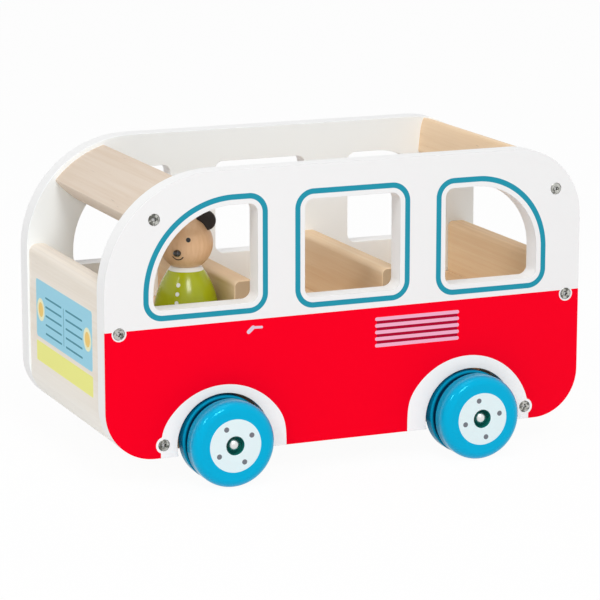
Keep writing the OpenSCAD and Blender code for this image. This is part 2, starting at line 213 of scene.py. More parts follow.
class ToyBusPrint(bpy.types.PropertyGroup):
    """Sizes and colours of the paint and print on the panels and the front board."""

    white: colour("White", "White paint of the panels' outer faces", paint(239, 239, 239))
    # Ring white is whiter than the outer white of the same paint: painted light that makes up for the shade
    # the wheels cast on the white rings
    ring_white_with_painted_light: colour("Ring white", "White paint round the wheels", paint(254, 254, 254))
    # Inner white and edge white are lighter than the outer white of the same paint: painted light that
    # offsets the shade inside the cabin and on the edges
    inner_white_with_painted_light: colour("Inner white", "White paint of the panels' inner faces", paint(250, 254, 255))
    edge_white_with_painted_light: colour("Edge white", "White paint of the panels' edges", paint(247, 247, 247))
    red: colour("Red", "Red print of the lower half", paint(250, 0, 34))
    teal: colour("Teal", "Lines round the windows", paint(16, 145, 169))
    stripe: colour("Stripe", "Pale stripes of the vent", paint(243, 178, 205))
    crimson: colour("Crimson", "Dark red between the vent's stripes", paint(168, 8, 48))
    handle: colour("Handle", "Pale door handle", paint(222, 200, 220))
    handle_end: spot("Handle end", "Lower front end of the door handle, X and Z", (0.0588, 0.0811))
    handle_knee: spot("Handle knee", "Bend of the door handle, X and Z", (0.0563, 0.0833))
    handle_tip: spot("Handle tip", "Rear end of the door handle, X and Z", (0.0513, 0.0831))
    handle_width: length("Handle width", "Width of the level part of the handle", 0.0014)
    handle_end_width: length("Handle end width", "Width of the lower end of the handle", 0.0022)
    belt_height: length("Belt height", "Top of the red print above the ground, at the front", 0.0874)
    belt_rise: length("Belt rise", "How much higher the red print reaches at the rear", 0.0011)
    front_ring: spot("Front ring", "Middle of the white ring round the front arch, X and Z", (0.0732, 0.0148))
    front_ring_radius: length("Front ring radius", "Radius of the white ring round the front arch", 0.0387)
    front_ring_span: spot("Front ring span", "Least and greatest X of the front ring", (0.0369, 0.1095))
    rear_ring: spot("Rear ring", "Middle of the white ring round the rear arch, X and Z", (-0.0715, 0.0172))
    rear_ring_radius: length("Rear ring radius", "Radius of the white ring round the rear arch", 0.039)
    rear_ring_span: spot("Rear ring span", "Least and greatest X of the rear ring", (-0.111, -0.035))
    ring_blend: length("Ring blend", "Softening of the corner where a ring meets its straight end", 0.005)
    belt_screw_ring: length("Belt screw ring", "White ring round the screws at the belt", 0.0041)
    floor_screw_ring: length("Floor screw ring", "White bump round the screws at the floor", 0.0046)
    band_gap: length("Band gap", "White strip between a window and its line", 0.0027)
    band_width: length("Band width", "Width of the line round a window", 0.003)
    vent_front: length("Vent front", "Front end of the vent's stripes", -0.0163)
    vent_rear: length("Vent rear", "Rear end of the vent's stripes", -0.065)
    vent_low: length("Vent low", "Height of the lowest stripe", 0.0667)
    vent_pitch: length("Vent pitch", "Distance from stripe to stripe", 0.0037)
    vent_width: length("Vent width", "Width of a stripe", 0.002)
    grille: colour("Grille", "Light blue field of the grille", paint(157, 217, 238))
    grille_line: colour("Grille line", "Lines of the grille", paint(60, 140, 160))
    lamp_ring: colour("Lamp ring", "Pale ring of a headlamp", paint(246, 244, 204))
    lamp: colour("Lamp", "Middle of a headlamp", paint(247, 208, 116))
    plate: colour("Plate", "Bare yellow plate", paint(246, 245, 142))
    grille_half_width: length("Grille half width", "Half the width of the blue field", 0.0485)
    grille_low: length("Grille low", "Lower edge of the blue field", 0.061)
    grille_high: length("Grille high", "Upper edge of the blue field", 0.094)
    grille_line_start: length("Line start", "Inner end of a grille line, from the middle", 0.0035)
    grille_line_end: length("Line end", "Outer end of a grille line, from the middle", 0.032)
    grille_line_low: length("Line low", "Height of the lowest grille line", 0.0652)
    grille_line_pitch: length("Line pitch", "Distance from grille line to grille line", 0.0051)
    grille_line_width: length("Line width", "Width of a grille line", 0.0011)
    lamp_offset: length("Lamp offset", "Distance of a headlamp from the middle", 0.0404)
    lamp_height: length("Lamp height", "Height of the headlamps", 0.0772)
    lamp_ring_radius: length("Lamp ring radius", "Outer radius of a headlamp's ring", 0.0065)
    lamp_radius: length("Lamp radius", "Radius of a headlamp's middle", 0.0042)
    plate_half_width: length("Plate half width", "Half the width of the yellow plate", 0.049)
    plate_low: length("Plate low", "Lower edge of the yellow plate", 0.047)
    plate_high: length("Plate high", "Upper edge of the yellow plate", 0.0585)
    grille_corner: length("Grille corner", "Radius of the blue field's corners", 0.002)
    plate_corner: length("Plate corner", "Radius of the yellow plate's corners", 0.001)
    vent_corner: length("Vent corner", "Radius of the vent's corners between the stripes", 0.0001)
    post_strength: factor("Post strength", "Strength of the grille's upright line", 0.6)


class ToyBusWood(bpy.types.PropertyGroup):
    """Colours of the bare wood."""

    pale: colour("Pale board", "Bare front board", paint(248, 240, 229))
    # The pale low edge colour is painted light: it stands in for light thrown up from the floor, lightening
    # the board towards its lower edge
    pale_low_painted_bounce: colour("Pale low edge", "Sanded lower end of the front board", paint(250, 248, 243))
    pale_grain: colour("Pale grain", "Grain of the front board", paint(240, 230, 216))
    front_header: colour("Front header", "Bare front header", paint(229, 214, 198))
    front_header_grain: colour("Front header grain", "Grain of the front header", paint(219, 199, 178))
    rear_header: colour("Rear header", "Bare rear header", paint(252, 226, 193))
    rear_header_grain: colour("Rear header grain", "Grain of the rear header", paint(242, 211, 174))
    bench: colour("Bench", "Bare benches", paint(236, 210, 176))
    bench_grain: colour("Bench grain", "Grain of the benches", paint(226, 192, 152))
    cabin: colour("Cabin", "Rear board and floor", paint(250, 225, 189))
    cabin_grain: colour("Cabin grain", "Grain of the rear board and floor", paint(241, 207, 166))


class ToyBusWheels(bpy.types.PropertyGroup):
    """Sizes and colours of the wheels, caps, axles and spacers."""

    outer_band: length("Outer band", "Width of the outer tread band", 0.0113)
    groove_width: length("Groove width", "Width of the groove round the tread", 0.005)
    groove_depth: length("Groove depth", "Depth of the groove round the tread", 0.003)
    groove_round: length("Groove rounding", "Rounding of the groove's edges", 0.001)
    outer_round: length("Outer rounding", "Rounding of the outer edge", 0.005)
    inner_round: length("Inner rounding", "Rounding of the inner edge", 0.002)
    recess_radius: length("Recess radius", "Radius of the recess round the cap", 0.0052)
    recess_depth: length("Recess depth", "Depth of the recess round the cap", 0.005)
    recess_round: length("Recess rounding", "Rounding of the recess's edge", 0.0004)
    bore_radius: length("Bore radius", "Radius of the bore for the axle", 0.00255)
    hub_radius: length("Hub radius", "Radius of the white hub", 0.0146)
    dot_circle: length("Dot circle", "Distance of the hub's dots from the axle", 0.0106)
    dot_radius: length("Dot radius", "Radius of a hub dot", 0.00145)
    front_turn: angle("Front turn", "How far the front wheels are turned", 61.2)
    rear_turn: angle("Rear turn", "How far the rear wheels are turned", 77.7)
    blue: colour("Blue", "Gloss blue of the wheels", paint(0, 172, 216))
    hub: colour("Hub", "White of the hubs", paint(224, 242, 245))
    dot: colour("Dot", "Grey of the hub dots", paint(108, 112, 120))
    # Recess colour is painted shade and reflection: a dark teal for the blue paint inside the recess's shadow
    recess: colour("Recess", "Paint inside the recess", paint(26, 122, 110))
    # Tread blue is painted shade: a darker blue where the tread lies in the arch's shade, on the same blue
    # paint
    tread: colour("Tread", "Deeper blue of the tread", paint(8, 150, 190))
    # The groove colour is painted shade: the groove's floor is drawn dark, though it has the same blue paint
    # as the rest
    groove: colour("Groove", "Dark paint in the groove", paint(4, 46, 76))
    glint: colour("Glint", "Tint of the light on the blue gloss", paint(90, 235, 255))
    cap: colour("Cap", "Polished steel of the caps", (0.85, 0.85, 0.84))
    axle: colour("Axle", "Steel of the axles", (0.55, 0.55, 0.56))
    spacer: colour("Spacer", "Dark nylon of the spacers", (0.02, 0.02, 0.022))


class ToyBusScrews(bpy.types.PropertyGroup):
    """Sizes and colours of the cross-head screws."""

    head_diameter: length("Head diameter", "Diameter of a screw head", 0.0064)
    shank_diameter: length("Shank diameter", "Diameter of a screw shank", 0.0035)
    length: length("Length", "Length of a screw", 0.03)
    tip: length("Tip", "Length of a screw's point", 0.003)
    rim_round: length("Rim rounding", "Rounding of a screw head's rim", 0.00025)
    cross_span: length("Cross span", "Span of the cross recess", 0.0046)
    cross_slot: length("Cross slot", "Width of the slots of the cross recess", 0.0014)
    cross_depth: length("Cross depth", "Depth of the cross recess", 0.0018)
    cross_reach: factor("Cross reach", "Span at the bottom of the recess as a share of the top", 0.45)
    cross_taper: factor("Cross taper", "Slot width at the bottom of the recess as a share of the top", 0.6)
    sunk: length("Sunk", "How far the heads lie below the panels' faces", 0.0002)
    sink_gap: length("Sink gap", "Gap between a screw head and its countersink", 0.0001)
    turn_step: angle("Turn step", "Turn from one screw to the next", 37)
    zinc: colour("Zinc", "Bright zinc of the screws", paint(196, 196, 190))
    tarnish: colour("Tarnish", "Dull patches on the zinc", paint(104, 104, 98))
    shade: colour("Shade", "Dark inside of the cross recess", paint(30, 28, 26))


class ToyBusDriver(bpy.types.PropertyGroup):
    """Sizes and colours of the peg driver."""

    turn: angle("Turn", "Direction the driver faces, from ahead towards the left", 51)
    skirt: length("Skirt", "Height of the straight lower part of the body", 0.008)
    neck_radius: length("Neck radius", "Radius of the neck", 0.008)
    base_round: length("Base rounding", "Rounding of the body's lower edge", 0.0012)
    ear_angle: angle("Ear angle", "Angle of the ears from the top of the head", 42)
    ear_diameter: length("Ear diameter", "Diameter of the felt ears", 0.011)
    ear_thickness: length("Ear thickness", "Thickness of the felt ears", 0.002)
    ear_seat: length("Ear seat", "How deep the ears are set in the head", 0.003)
    ear_rim: factor("Ear rim", "Width of an ear's flat rim as a share of its diameter", 0.2)
    ear_slope: factor("Ear slope", "Width of the slope inside the rim as a share of the diameter", 0.1)
    ear_dish: factor("Ear dish", "Depth of an ear's dish as a share of its thickness", 0.3)
    nose_diameter: length("Nose diameter", "Diameter of the bead nose", 0.0044)
    nose_squash: factor("Nose squash", "Height of the nose as a share of its width", 0.86)
    eye_aside: angle("Eye aside", "Angle of an eye from the middle of the face", 24)
    eye_height: angle("Eye height", "Angle of the eyes above level", 16)
    eye_radius: length("Eye radius", "Radius of a printed eye", 0.0013)
    smile_drop: angle("Smile drop", "Angle of the smile's middle below level", 16)
    smile_radius: length("Smile radius", "Radius of the smile", 0.0032)
    smile_width: length("Smile width", "Width of the smile's line", 0.0007)
    smile_top: length("Smile top", "How far the smile's ends lie below its middle", 0.0011)
    green: colour("Green", "Gloss lime of the body", paint(172, 180, 12))
    collar: colour("Collar", "White of the neck band and buttons", paint(236, 236, 230))
    band_width: length("Band width", "Width of the band round the neck", 0.0022)
    button_radius: length("Button radius", "Radius of a printed button", 0.0011)
    button_pitch: length("Button pitch", "Distance from button to button", 0.0046)
    button_drop: length("Button drop", "Distance of the top button below the neck", 0.0085)
    skin: colour("Head", "Varnished wood of the head", paint(230, 189, 147))
    skin_grain: colour("Head grain", "Grain of the head", paint(218, 173, 130))
    felt: colour("Felt", "Dark felt of the ears", paint(40, 34, 32))
    ink: colour("Ink", "Black print of the face", (0.006, 0.006, 0.007))
    bead: colour("Bead", "Black of the nose", (0.004, 0.004, 0.005))
    bead_light: colour("Bead light", "Lighter clouds in the nose's black", (0.012, 0.011, 0.011))


class ToyBusStage(bpy.types.PropertyGroup):
    """Camera, lamps, surroundings and floor."""

    camera_place: position("Camera place", "Where the camera stands", (0.61152, 1.45459, 0.42231))
    camera_aim: position("Camera aim", "Point in the middle of the picture", (0.00437, 0.01387, 0.08221))
    lens: optics("Lens", "Focal length in millimetres", 171.47)
    sensor: optics("Sensor", "Width of the sensor in millimetres", 36)
    ambient: factor("Ambient", "Strength of the white surroundings", 0.5)
    key_place: position("Key place", "Where the lamp beside the camera hangs", (0.35, 2.1, 1.8))
    key_size: length("Key size", "Side of the lamp beside the camera", 0.75)
    key_power: power("Key power", "Power of the lamp beside the camera", 23.5)
    top_place: position("Top place", "Where the lamp above the bus hangs", (0.2, 0.4, 2.2))
    top_size: length("Top size", "Side of the lamp above the bus", 1.2)
    top_power: power("Top power", "Power of the lamp above the bus", 5.5)
    front_place: position("Front place", "Where the lamp before the bus hangs", (1.6, 0.8, 1.5))
    front_size: length("Front size", "Side of the lamp before the bus", 0.5)
    front_power: power("Front power", "Power of the lamp before the bus", 8.5)
    floor_size: length("Floor size", "Side of the floor", 12)
    floor_grey: factor("Floor grey", "Share of light that the floor throws back", 0.95)
    floor_lift: factor("Floor lift", "How far the floor's picture is lifted to white", 0.955)


def clear_selection():
    """Leaves edit mode and deselects everything, so that the next operator acts on one piece."""
    if bpy.context.object and bpy.context.object.mode != "OBJECT":
        bpy.ops.object.mode_set(mode="OBJECT")
    bpy.ops.object.select_all(action="DESELECT")


def keep_alone(piece):
    """Makes the piece the only selected one, and the active one."""
    clear_selection()
    piece.select_set(True)
    bpy.context.view_layer.objects.active = piece


def settle(name):
    """Puts the active object's place into its mesh and names both."""
    bpy.ops.object.transform_apply(location=True, rotation=True, scale=True)
    piece = bpy.context.object
    piece.name = name
    piece.data.name = name
    return piece


def add_box(name, low, high):
    """Cube brought to its size and place."""
    clear_selection()
    low, high = Vector(low), Vector(high)
    bpy.ops.mesh.primitive_cube_add(size=1, location=(low + high) / 2)
    bpy.context.object.scale = high - low
    return settle(name)


def add_rod(name, radius, depth, place, steps=ROD_STEPS):
    """Cylinder that lies along Y."""
    clear_selection()
    bpy.ops.mesh.primitive_cone_add(vertices=steps, radius1=radius, radius2=radius, depth=depth,
                                    location=place, rotation=(-math.pi / 2, 0, 0))
    return settle(name)


def pick(piece, kind, test):
    """Opens the piece in edit mode with the edges or faces selected that pass the test."""
    keep_alone(piece)
    bpy.ops.object.mode_set(mode="EDIT")
    bpy.ops.mesh.select_mode(type=kind)
    bpy.ops.mesh.select_all(action="DESELECT")
    mesh = bmesh.from_edit_mesh(piece.data)
    for item in mesh.edges if kind == "EDGE" else mesh.faces:
        if test(item):
            item.select_set(True)
    bmesh.update_edit_mesh(piece.data)


def close_edit():
    """Goes back to object mode."""
    bpy.ops.object.mode_set(mode="OBJECT")


def on_line(edge, x, z):
    """True for an edge that runs along Y at this place."""
    return all(abs(v.co.x - x) < NEAR and abs(v.co.z - z) < NEAR for v in edge.verts)


def round_edges_at(piece, x, z, radius, steps):
    """Rounds the edge that runs along Y at this place."""
    pick(piece, "EDGE", lambda edge: on_line(edge, x, z))
    bpy.ops.mesh.bevel(offset=radius, segments=steps, profile=0.5, affect="EDGES")
    close_edit()


def apply_modifier(piece, kind, **settings):
    """Adds a modifier with these settings and applies it."""
    keep_alone(piece)
    modifier = piece.modifiers.new(kind.lower(), kind)
    for key, value in settings.items():
        setattr(modifier, key, value)
    bpy.ops.object.modifier_apply(modifier=modifier.name)


def carve(piece, tool, operation="DIFFERENCE"):
    """Cuts the piece with a tool, which is then thrown away."""
    apply_modifier(piece, "BOOLEAN", operation=operation, solver="EXACT", object=tool)
    bpy.data.objects.remove(tool)


def soften(piece, width, steps=3):
    """Rounds every sharp edge of the piece a little."""
    apply_modifier(piece, "BEVEL", width=width, segments=steps, limit_method="ANGLE",
                   angle_limit=math.radians(ROUNDED_FROM), use_clamp_overlap=True)


def smooth(piece):
    """Smooth shading that keeps the flat faces flat."""
    keep_alone(piece)
    bpy.ops.object.shade_smooth_by_angle(angle=math.radians(SHARP_FROM))
    apply_modifier(piece, "WEIGHTED_NORMAL", keep_sharp=True)


def heal(piece):
    """Merges doubles and turns all faces outwards."""
    keep_alone(piece)
    bpy.ops.object.mode_set(mode="EDIT")
    bpy.ops.mesh.select_all(action="SELECT")
    bpy.ops.mesh.remove_doubles(threshold=NEAR / 10)
    bpy.ops.mesh.normals_make_consistent(inside=False)
    close_edit()


def arc(centre, radius, start, end, steps):
    """Points of a profile along a round, from one angle to another in degrees."""
    turns = [math.radians(start + (end - start) * i / steps) for i in range(steps + 1)]
    return [(centre[0] + radius * math.cos(t), centre[1] + radius * math.sin(t)) for t in turns]


def turn_on_lathe(name, profile, closed=False, steps=WHEEL_STEPS):
    """Ring drawn out along a profile of radius and height; a closed profile ends where it began."""
    clear_selection()
    radius, height = profile[0]
    fill = "NOTHING" if closed else "NGON"
    bpy.ops.mesh.primitive_circle_add(vertices=steps, radius=radius, fill_type=fill, location=(0, 0, height))
    piece = settle(name)
    bpy.ops.object.mode_set(mode="EDIT")
    bpy.ops.mesh.select_all(action="SELECT")
    for next_radius, next_height in profile[1:]:
        lift = {"value": (0, 0, next_height - height)}
        if closed:
            bpy.ops.mesh.extrude_edges_move(TRANSFORM_OT_translate=lift)
        else:
            bpy.ops.mesh.extrude_region_move(TRANSFORM_OT_translate=lift)
        share = next_radius / radius
        bpy.ops.transform.resize(value=(share, share, 1), center_override=(0, 0, 0))
        radius, height = next_radius, next_height
    close_edit()
    heal(piece)
    return piece


def copy_of(piece, name, place):
    """Copy with its own mesh, put in its place by a matrix."""
    keep_alone(piece)
    bpy.ops.object.duplicate(linked=False)
    bpy.context.object.matrix_world = place
    return settle(name)


def put(piece, place):
    """Puts the piece in its place by a matrix that then goes into its mesh."""
    piece.matrix_world = place
    keep_alone(piece)
    return settle(piece.name)


def outward(x, y, z, side):
    """Matrix that points local Z outward at a place on a side of the bus."""
    return Matrix.Translation((x, y, z)) @ Matrix.Rotation(-side * math.pi / 2, 4, "X")


def dress(piece, finish, body, slot, *nodes):
    """Gives a new piece its material and the body that it rides on, and hides the CAD nodes that it stands
    for.
    """
    piece.data.materials.clear()
    piece.data.materials.append(finish)
    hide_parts(*nodes)
    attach(piece, body)
    clear_selection()


def dress_node(name, finish):
    """Gives a CAD node that stays as it is a better material."""
    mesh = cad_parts[name].data
    mesh.materials.clear()
    mesh.materials.append(finish)


class Nodes:
    """Node tree in the making; a value may be a number, a colour or another node's output."""

    def __init__(self, tree):
        self.tree = tree

    def feed(self, socket, value):
        """Links a node's output to a socket, or sets a plain value on it."""
        if isinstance(value, bpy.types.NodeSocket):
            self.tree.links.new(value, socket)
        elif socket.type == "RGBA":
            socket.default_value = (*value, 1)
        else:
            socket.default_value = value

    def node(self, kind, inputs=None, **settings):
        """Adds a node with its settings and inputs."""
        made = self.tree.nodes.new("ShaderNode" + kind)
        for key, value in settings.items():
            setattr(made, key, value)
        for key, value in (inputs or {}).items():
            self.feed(made.inputs[key], value)
        return made

    def math(self, operation, *values):
        """Sum, product or other operation on numbers."""
        return self.node("Math", dict(enumerate(values)), operation=operation).outputs[0]

    def plus(self, first, second):
        """Sum of two numbers."""
        return self.math("ADD", first, second)

    def minus(self, first, second):
        """Difference of two numbers."""
        return self.math("SUBTRACT", first, second)

    def times(self, first, second):
        """Product of two numbers."""
        return self.math("MULTIPLY", first, second)

    def size(self, value):
        """Number without its sign."""
        return self.math("ABSOLUTE", value)

    def vary(self, base, value, share):
        """Base number with a share of a value on top."""
        return self.plus(base, self.times(value, share))

    def seen(self):
        """1 for rays from the camera and from gloss."""
        path = self.node("LightPath")
        total = self.plus(path.outputs["Is Camera Ray"], path.outputs["Is Glossy Ray"])
        total.node.use_clamp = True
        return total


class Finish(Nodes):
    """Node material in the making."""

    def __init__(self, name):
        self.material = bpy.data.materials.new(name)
        self.material.use_nodes = True
        super().__init__(self.material.node_tree)
        self.shader = self.tree.nodes["Principled BSDF"]
        self.place = self.node("TexCoord").outputs["Object"]
        split = self.node("SeparateXYZ", {0: self.place})
        self.x, self.y, self.z = split.outputs

    def vector(self, operation, *values, output="Vector"):
        """Operation on vectors."""
        return self.node("VectorMath", dict(enumerate(values)), operation=operation).outputs[output]

    def ramp(self, value, start, end):
        """Smooth step from 0 at start to 1 at end."""
        inputs = {"Value": value, "From Min": start, "From Max": end}
        return self.node("MapRange", inputs, interpolation_type="SMOOTHSTEP").outputs["Result"]

    def inside(self, distance, blur=0.00008):
        """1 where a distance is below zero, with a crisp edge."""
        return self.ramp(distance, blur, -blur)

    def within(self, away, radius):
        """1 where a distance is below a radius."""
        return self.inside(self.minus(away, radius))

    def face(self, along, surface, depths):
        """Step along an axis, from 0 at the first depth behind a surface to 1 at the second."""
        return self.ramp(along, surface - depths[0], surface - depths[1])

    def mix(self, share, first, second):
        """Colour between two colours."""
        made = self.node("Mix", data_type="RGBA")
        for index, value in ((0, share), (6, first), (7, second)):
            self.feed(made.inputs[index], value)
        return made.outputs[2]

    def both(self, *masks):
        """1 where all masks are 1."""
        result = masks[0]
        for mask in masks[1:]:
            result = self.times(result, mask)
        return result

    def noise(self, scale, detail=3, roughness=0.5, warp=0):
        """Noise in waves a metre, one number for all axes or one for each."""
        scales = [scale] * 3 if isinstance(scale, int) else scale
        stretched = self.node("Mapping", {"Vector": self.place, "Scale": scales}).outputs[0]
        inputs = {"Scale": 1, "Detail": detail, "Roughness": roughness, "Distortion": warp}
        return self.node("TexNoise", {"Vector": stretched, **inputs}).outputs["Fac"]

    def flat(self, across, up):
        """Point in a plane, for distances to printed shapes."""
        return self.node("CombineXYZ", {0: across, 2: up}).outputs[0]

    def gap(self, first, second):
        """Distance between two points."""
        return self.vector("DISTANCE", first, second, output="Value")

    def distance(self, flat, across, up):
        """Distance in the plane from one point."""
        return self.gap(flat, (across, 0, up))

    def along(self, offset, heading):
        """How far an offset reaches in a direction."""
        return self.vector("DOT_PRODUCT", offset, heading, output="Value")

    def repeat(self, value, pitch):
        """Value folded so that it runs from minus half a pitch to half a pitch again and again."""
        return self.math("WRAP", value, pitch / 2, -pitch / 2)

    def box_distance(self, flat, low, high, radius):
        """Signed distance from a rectangle with round corners, given by two corners in the plane."""
        middle = ((low[0] + high[0]) / 2, 0, (low[1] + high[1]) / 2)
        half = ((high[0] - low[0]) / 2 - radius, 0, (high[1] - low[1]) / 2 - radius)
        offset = self.vector("ABSOLUTE", self.vector("SUBTRACT", flat, middle))
        beyond = self.vector("SUBTRACT", offset, half)
        split = self.node("SeparateXYZ", {0: beyond})
        outer = self.vector("LENGTH", self.vector("MAXIMUM", beyond, (0, 0, 0)), output="Value")
        inner = self.math("MINIMUM", self.math("MAXIMUM", split.outputs[0], split.outputs[2]), 0)
        return self.minus(self.plus(outer, inner), radius)

    def stroke_distance(self, flat, start, end, half_width):
        """Signed distance from a straight stroke with round ends, given by two points in the plane."""
        begin = Vector((start[0], 0, start[1]))
        along = Vector((end[0], 0, end[1])) - begin
        offset = self.vector("SUBTRACT", flat, begin)
        share = self.along(offset, along / along.length_squared)
        share = self.math("MAXIMUM", self.math("MINIMUM", share, 1), 0)
        nearest = self.vector("SCALE", along)
        self.feed(nearest.node.inputs["Scale"], share)
        return self.minus(self.gap(offset, nearest), half_width)

    def bump(self, height, depth, strength=1.0):
        """Gives the surface a relief of this depth in metres."""
        inputs = {"Height": height, "Distance": depth, "Strength": strength}
        self.feed(self.shader.inputs["Normal"], self.node("Bump", inputs).outputs[0])

    def done(self, **sockets):
        """Sets the shader's sockets and gives the material."""
        for name, value in sockets.items():
            self.feed(self.shader.inputs[name.replace("_", " ")], value)
        return self.material


def axle_places():
    """X of the front and rear axles, and their height."""
    boxes = [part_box(end + "_left_wheel") for end in ENDS]
    return [(low.x + high.x) / 2 for low, high in boxes], (boxes[0][0].z + boxes[0][1].z) / 2


def window_boxes(sizes):
    """Low corner, high corner and corner radii of each window, the large radius at the top outer corner."""
    sill = PANEL_LOW.z + sizes.window_sill
    top = sill + sizes.window_height
    small = sizes.window_corner
    front = PANEL_HIGH.x - sizes.front_window_inset
    middle = front - sizes.front_window_length - sizes.post_width
    rear = middle - sizes.middle_window_length - sizes.post_width
    return [
        ((front - sizes.front_window_length, sill), (front, top), sizes.front_window_radius, small),
        ((middle - sizes.middle_window_length, sill), (middle, top), small, small),
        ((rear - sizes.rear_window_length, sill), (rear, top), small, sizes.rear_window_radius),
    ]


def rounded_block(name, low, high, radii, steps):
    """Block along Y with its own radius at the front top, rear top, rear low and front low edge."""
    block = add_box(name, low, high)
    places = [(high[0], high[2]), (low[0], high[2]), (low[0], low[2]), (high[0], low[2])]
    for (x, z), radius in zip(places, radii):
        round_edges_at(block, x, z, radius, steps)
    return block


def outline_block(name, low_y, high_y):
    """Block with the outline of the bus's side."""
    sizes = bpy.context.scene.toy_bus_body
    radii = (sizes.front_top_radius, sizes.rear_top_radius, sizes.rear_low_radius, sizes.front_low_radius)
    low = (PANEL_LOW.x, low_y, PANEL_LOW.z - sizes.low_drop)
    high = (PANEL_HIGH.x, high_y, PANEL_HIGH.z)
    return rounded_block(name, low, high, radii, OUTLINE_STEPS)


def screw_spots(side_node):
    """Middles of the separate screws in a CAD node of screws."""
    mesh = bmesh.new()
    mesh.from_mesh(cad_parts[side_node].data)
    bmesh.ops.remove_doubles(mesh, verts=mesh.verts, dist=NEAR / 10)
    spots = []
    waiting = set(mesh.verts)
    while waiting:
        group = [waiting.pop()]
        for vert in group:
            for edge in vert.link_edges:
                other = edge.other_vert(vert)
                if other in waiting:
                    waiting.remove(other)
                    group.append(other)
        xs = [v.co.x for v in group]
        zs = [v.co.z for v in group]
        spots.append(((min(xs) + max(xs)) / 2, (min(zs) + max(zs)) / 2))
    mesh.free()
    return sorted(spots)


def red_half(make, flat):
    """Mask of the red print, cut out round the wheels and the screws."""
    prints = bpy.context.scene.toy_bus_print
    slope = prints.belt_rise / (PANEL_LOW.x - PANEL_HIGH.x)
    rise = make.times(make.minus(make.x, PANEL_HIGH.x), slope)
    red = make.within(make.z, make.plus(rise, prints.belt_height))
    rings = (
        (prints.front_ring, prints.front_ring_radius, prints.front_ring_span),
        (prints.rear_ring, prints.rear_ring_radius, prints.rear_ring_span),
    )
    for middle, radius, (least, most) in rings:
        within = make.minus(radius, make.distance(flat, *middle))
        off_middle = make.size(make.minus(make.x, (least + most) / 2))
        span = make.minus((most - least) / 2, off_middle)
        red = make.both(red, make.inside(make.math("SMOOTH_MIN", within, span, prints.ring_blend)))
    for x, z in screw_spots("left_panel_screws"):
        if z < prints.belt_height + prints.belt_screw_ring:
            at_belt = z > prints.belt_height / 2
            radius = prints.belt_screw_ring if at_belt else prints.floor_screw_ring
            red = make.both(red, make.within(radius, make.distance(flat, x, z)))
    return red


def window_lines(make, flat):
    """Mask of the lines round the windows."""
    prints = bpy.context.scene.toy_bus_print
    teal = None
    middle_of_band = prints.band_gap + prints.band_width / 2
    for low, high, front_radius, rear_radius in window_boxes(bpy.context.scene.toy_bus_body):
        large = max(front_radius, rear_radius)
        small = min(front_radius, rear_radius)
        away = make.box_distance(flat, low, high, small)
        if large > small:
            far = high[0] - low[0]
            long_low = (low[0] - (far if front_radius == large else 0), low[1] - far)
            long_high = (high[0] + (far if rear_radius == large else 0), high[1])
            away = make.math("MAXIMUM", away, make.box_distance(flat, long_low, long_high, large))
        band = make.within(make.size(make.minus(away, middle_of_band)), prints.band_width / 2)
        teal = band if teal is None else make.math("MAXIMUM", teal, band)
    return teal


def vent_and_handle(make, flat, tint):
    """Colour with the vent's stripes and the door handle printed over it."""
    prints = bpy.context.scene.toy_bus_print
    rear, front, low = prints.vent_rear, prints.vent_front, prints.vent_low
    high = low + (VENT_STRIPES - 1) * prints.vent_pitch
    field = make.box_distance(flat, (rear, low), (front, high), prints.vent_corner)
    tint = make.mix(make.inside(field), tint, prints.crimson)
    half = prints.vent_width / 2
    stripe_flat = make.flat(make.x, make.repeat(make.minus(make.z, low), prints.vent_pitch))
    stripe = make.box_distance(stripe_flat, (rear - half, -half), (front + half, half), half)
    tall = make.box_distance(flat, (rear - half, low - half), (front + half, high + half), half)
    tint = make.mix(make.both(make.inside(stripe), make.inside(tall)), tint, prints.stripe)
    grip = make.stroke_distance(flat, prints.handle_knee, prints.handle_tip, prints.handle_width / 2)
    drop = make.stroke_distance(flat, prints.handle_knee, prints.handle_end, prints.handle_end_width / 2)
    return make.mix(make.inside(make.math("MINIMUM", grip, drop)), tint, prints.handle)


def panel_paint():
    """White paint with the red lower half, window lines, vent and handle printed on the outer face, and
    lighter whites on the edges, inner faces and wheel rings as painted light.
    """
    prints = bpy.context.scene.toy_bus_print
    make = Finish("panel_paint")
    flat = make.flat(make.x, make.z)
    left = make.face(make.y, PANEL_HIGH.y, LEFT_PRINT)
    right = make.face(make.times(make.y, RIGHT), PANEL_HIGH.y, RIGHT_PRINT)
    outer = make.math("MAXIMUM", left, right)
    # Below the belt the white rings take the whiter ring white, painted light against the wheels' shade
    ring_top = prints.front_ring[1] + prints.front_ring_radius
    lower = make.ramp(make.z, prints.belt_height - prints.belt_screw_ring, ring_top)
    red = red_half(make, flat)
    tint = make.mix(red, make.mix(lower, prints.white, prints.ring_white_with_painted_light), prints.red)
    teal = window_lines(make, flat)
    tint = vent_and_handle(make, flat, make.mix(teal, tint, prints.teal))
    # Edges and inner faces take lighter whites than the outer face, painted light against their shade
    inner = make.ramp(make.size(make.y), PANEL_LOW.y + INNER_FADE, PANEL_LOW.y)
    tint = make.mix(outer, make.mix(inner, prints.edge_white_with_painted_light, prints.inner_white_with_painted_light), tint)
    layer = make.both(outer, make.math("MAXIMUM", red, teal))
    grain = make.noise((14, 40, 160), detail=4)
    peel = make.noise(420, detail=2)
    height = make.plus(make.times(layer, 0.5), make.times(grain, 0.5))
    make.bump(make.plus(height, make.times(peel, 0.25)), 0.00006, 0.5)
    rough = make.vary(0.42, peel, 0.12)
    glint = make.mix(make.both(outer, red), (1, 1, 1), prints.red)
    return make.done(Base_Color=tint, Roughness=rough, Specular_IOR_Level=0.25, Specular_Tint=glint)


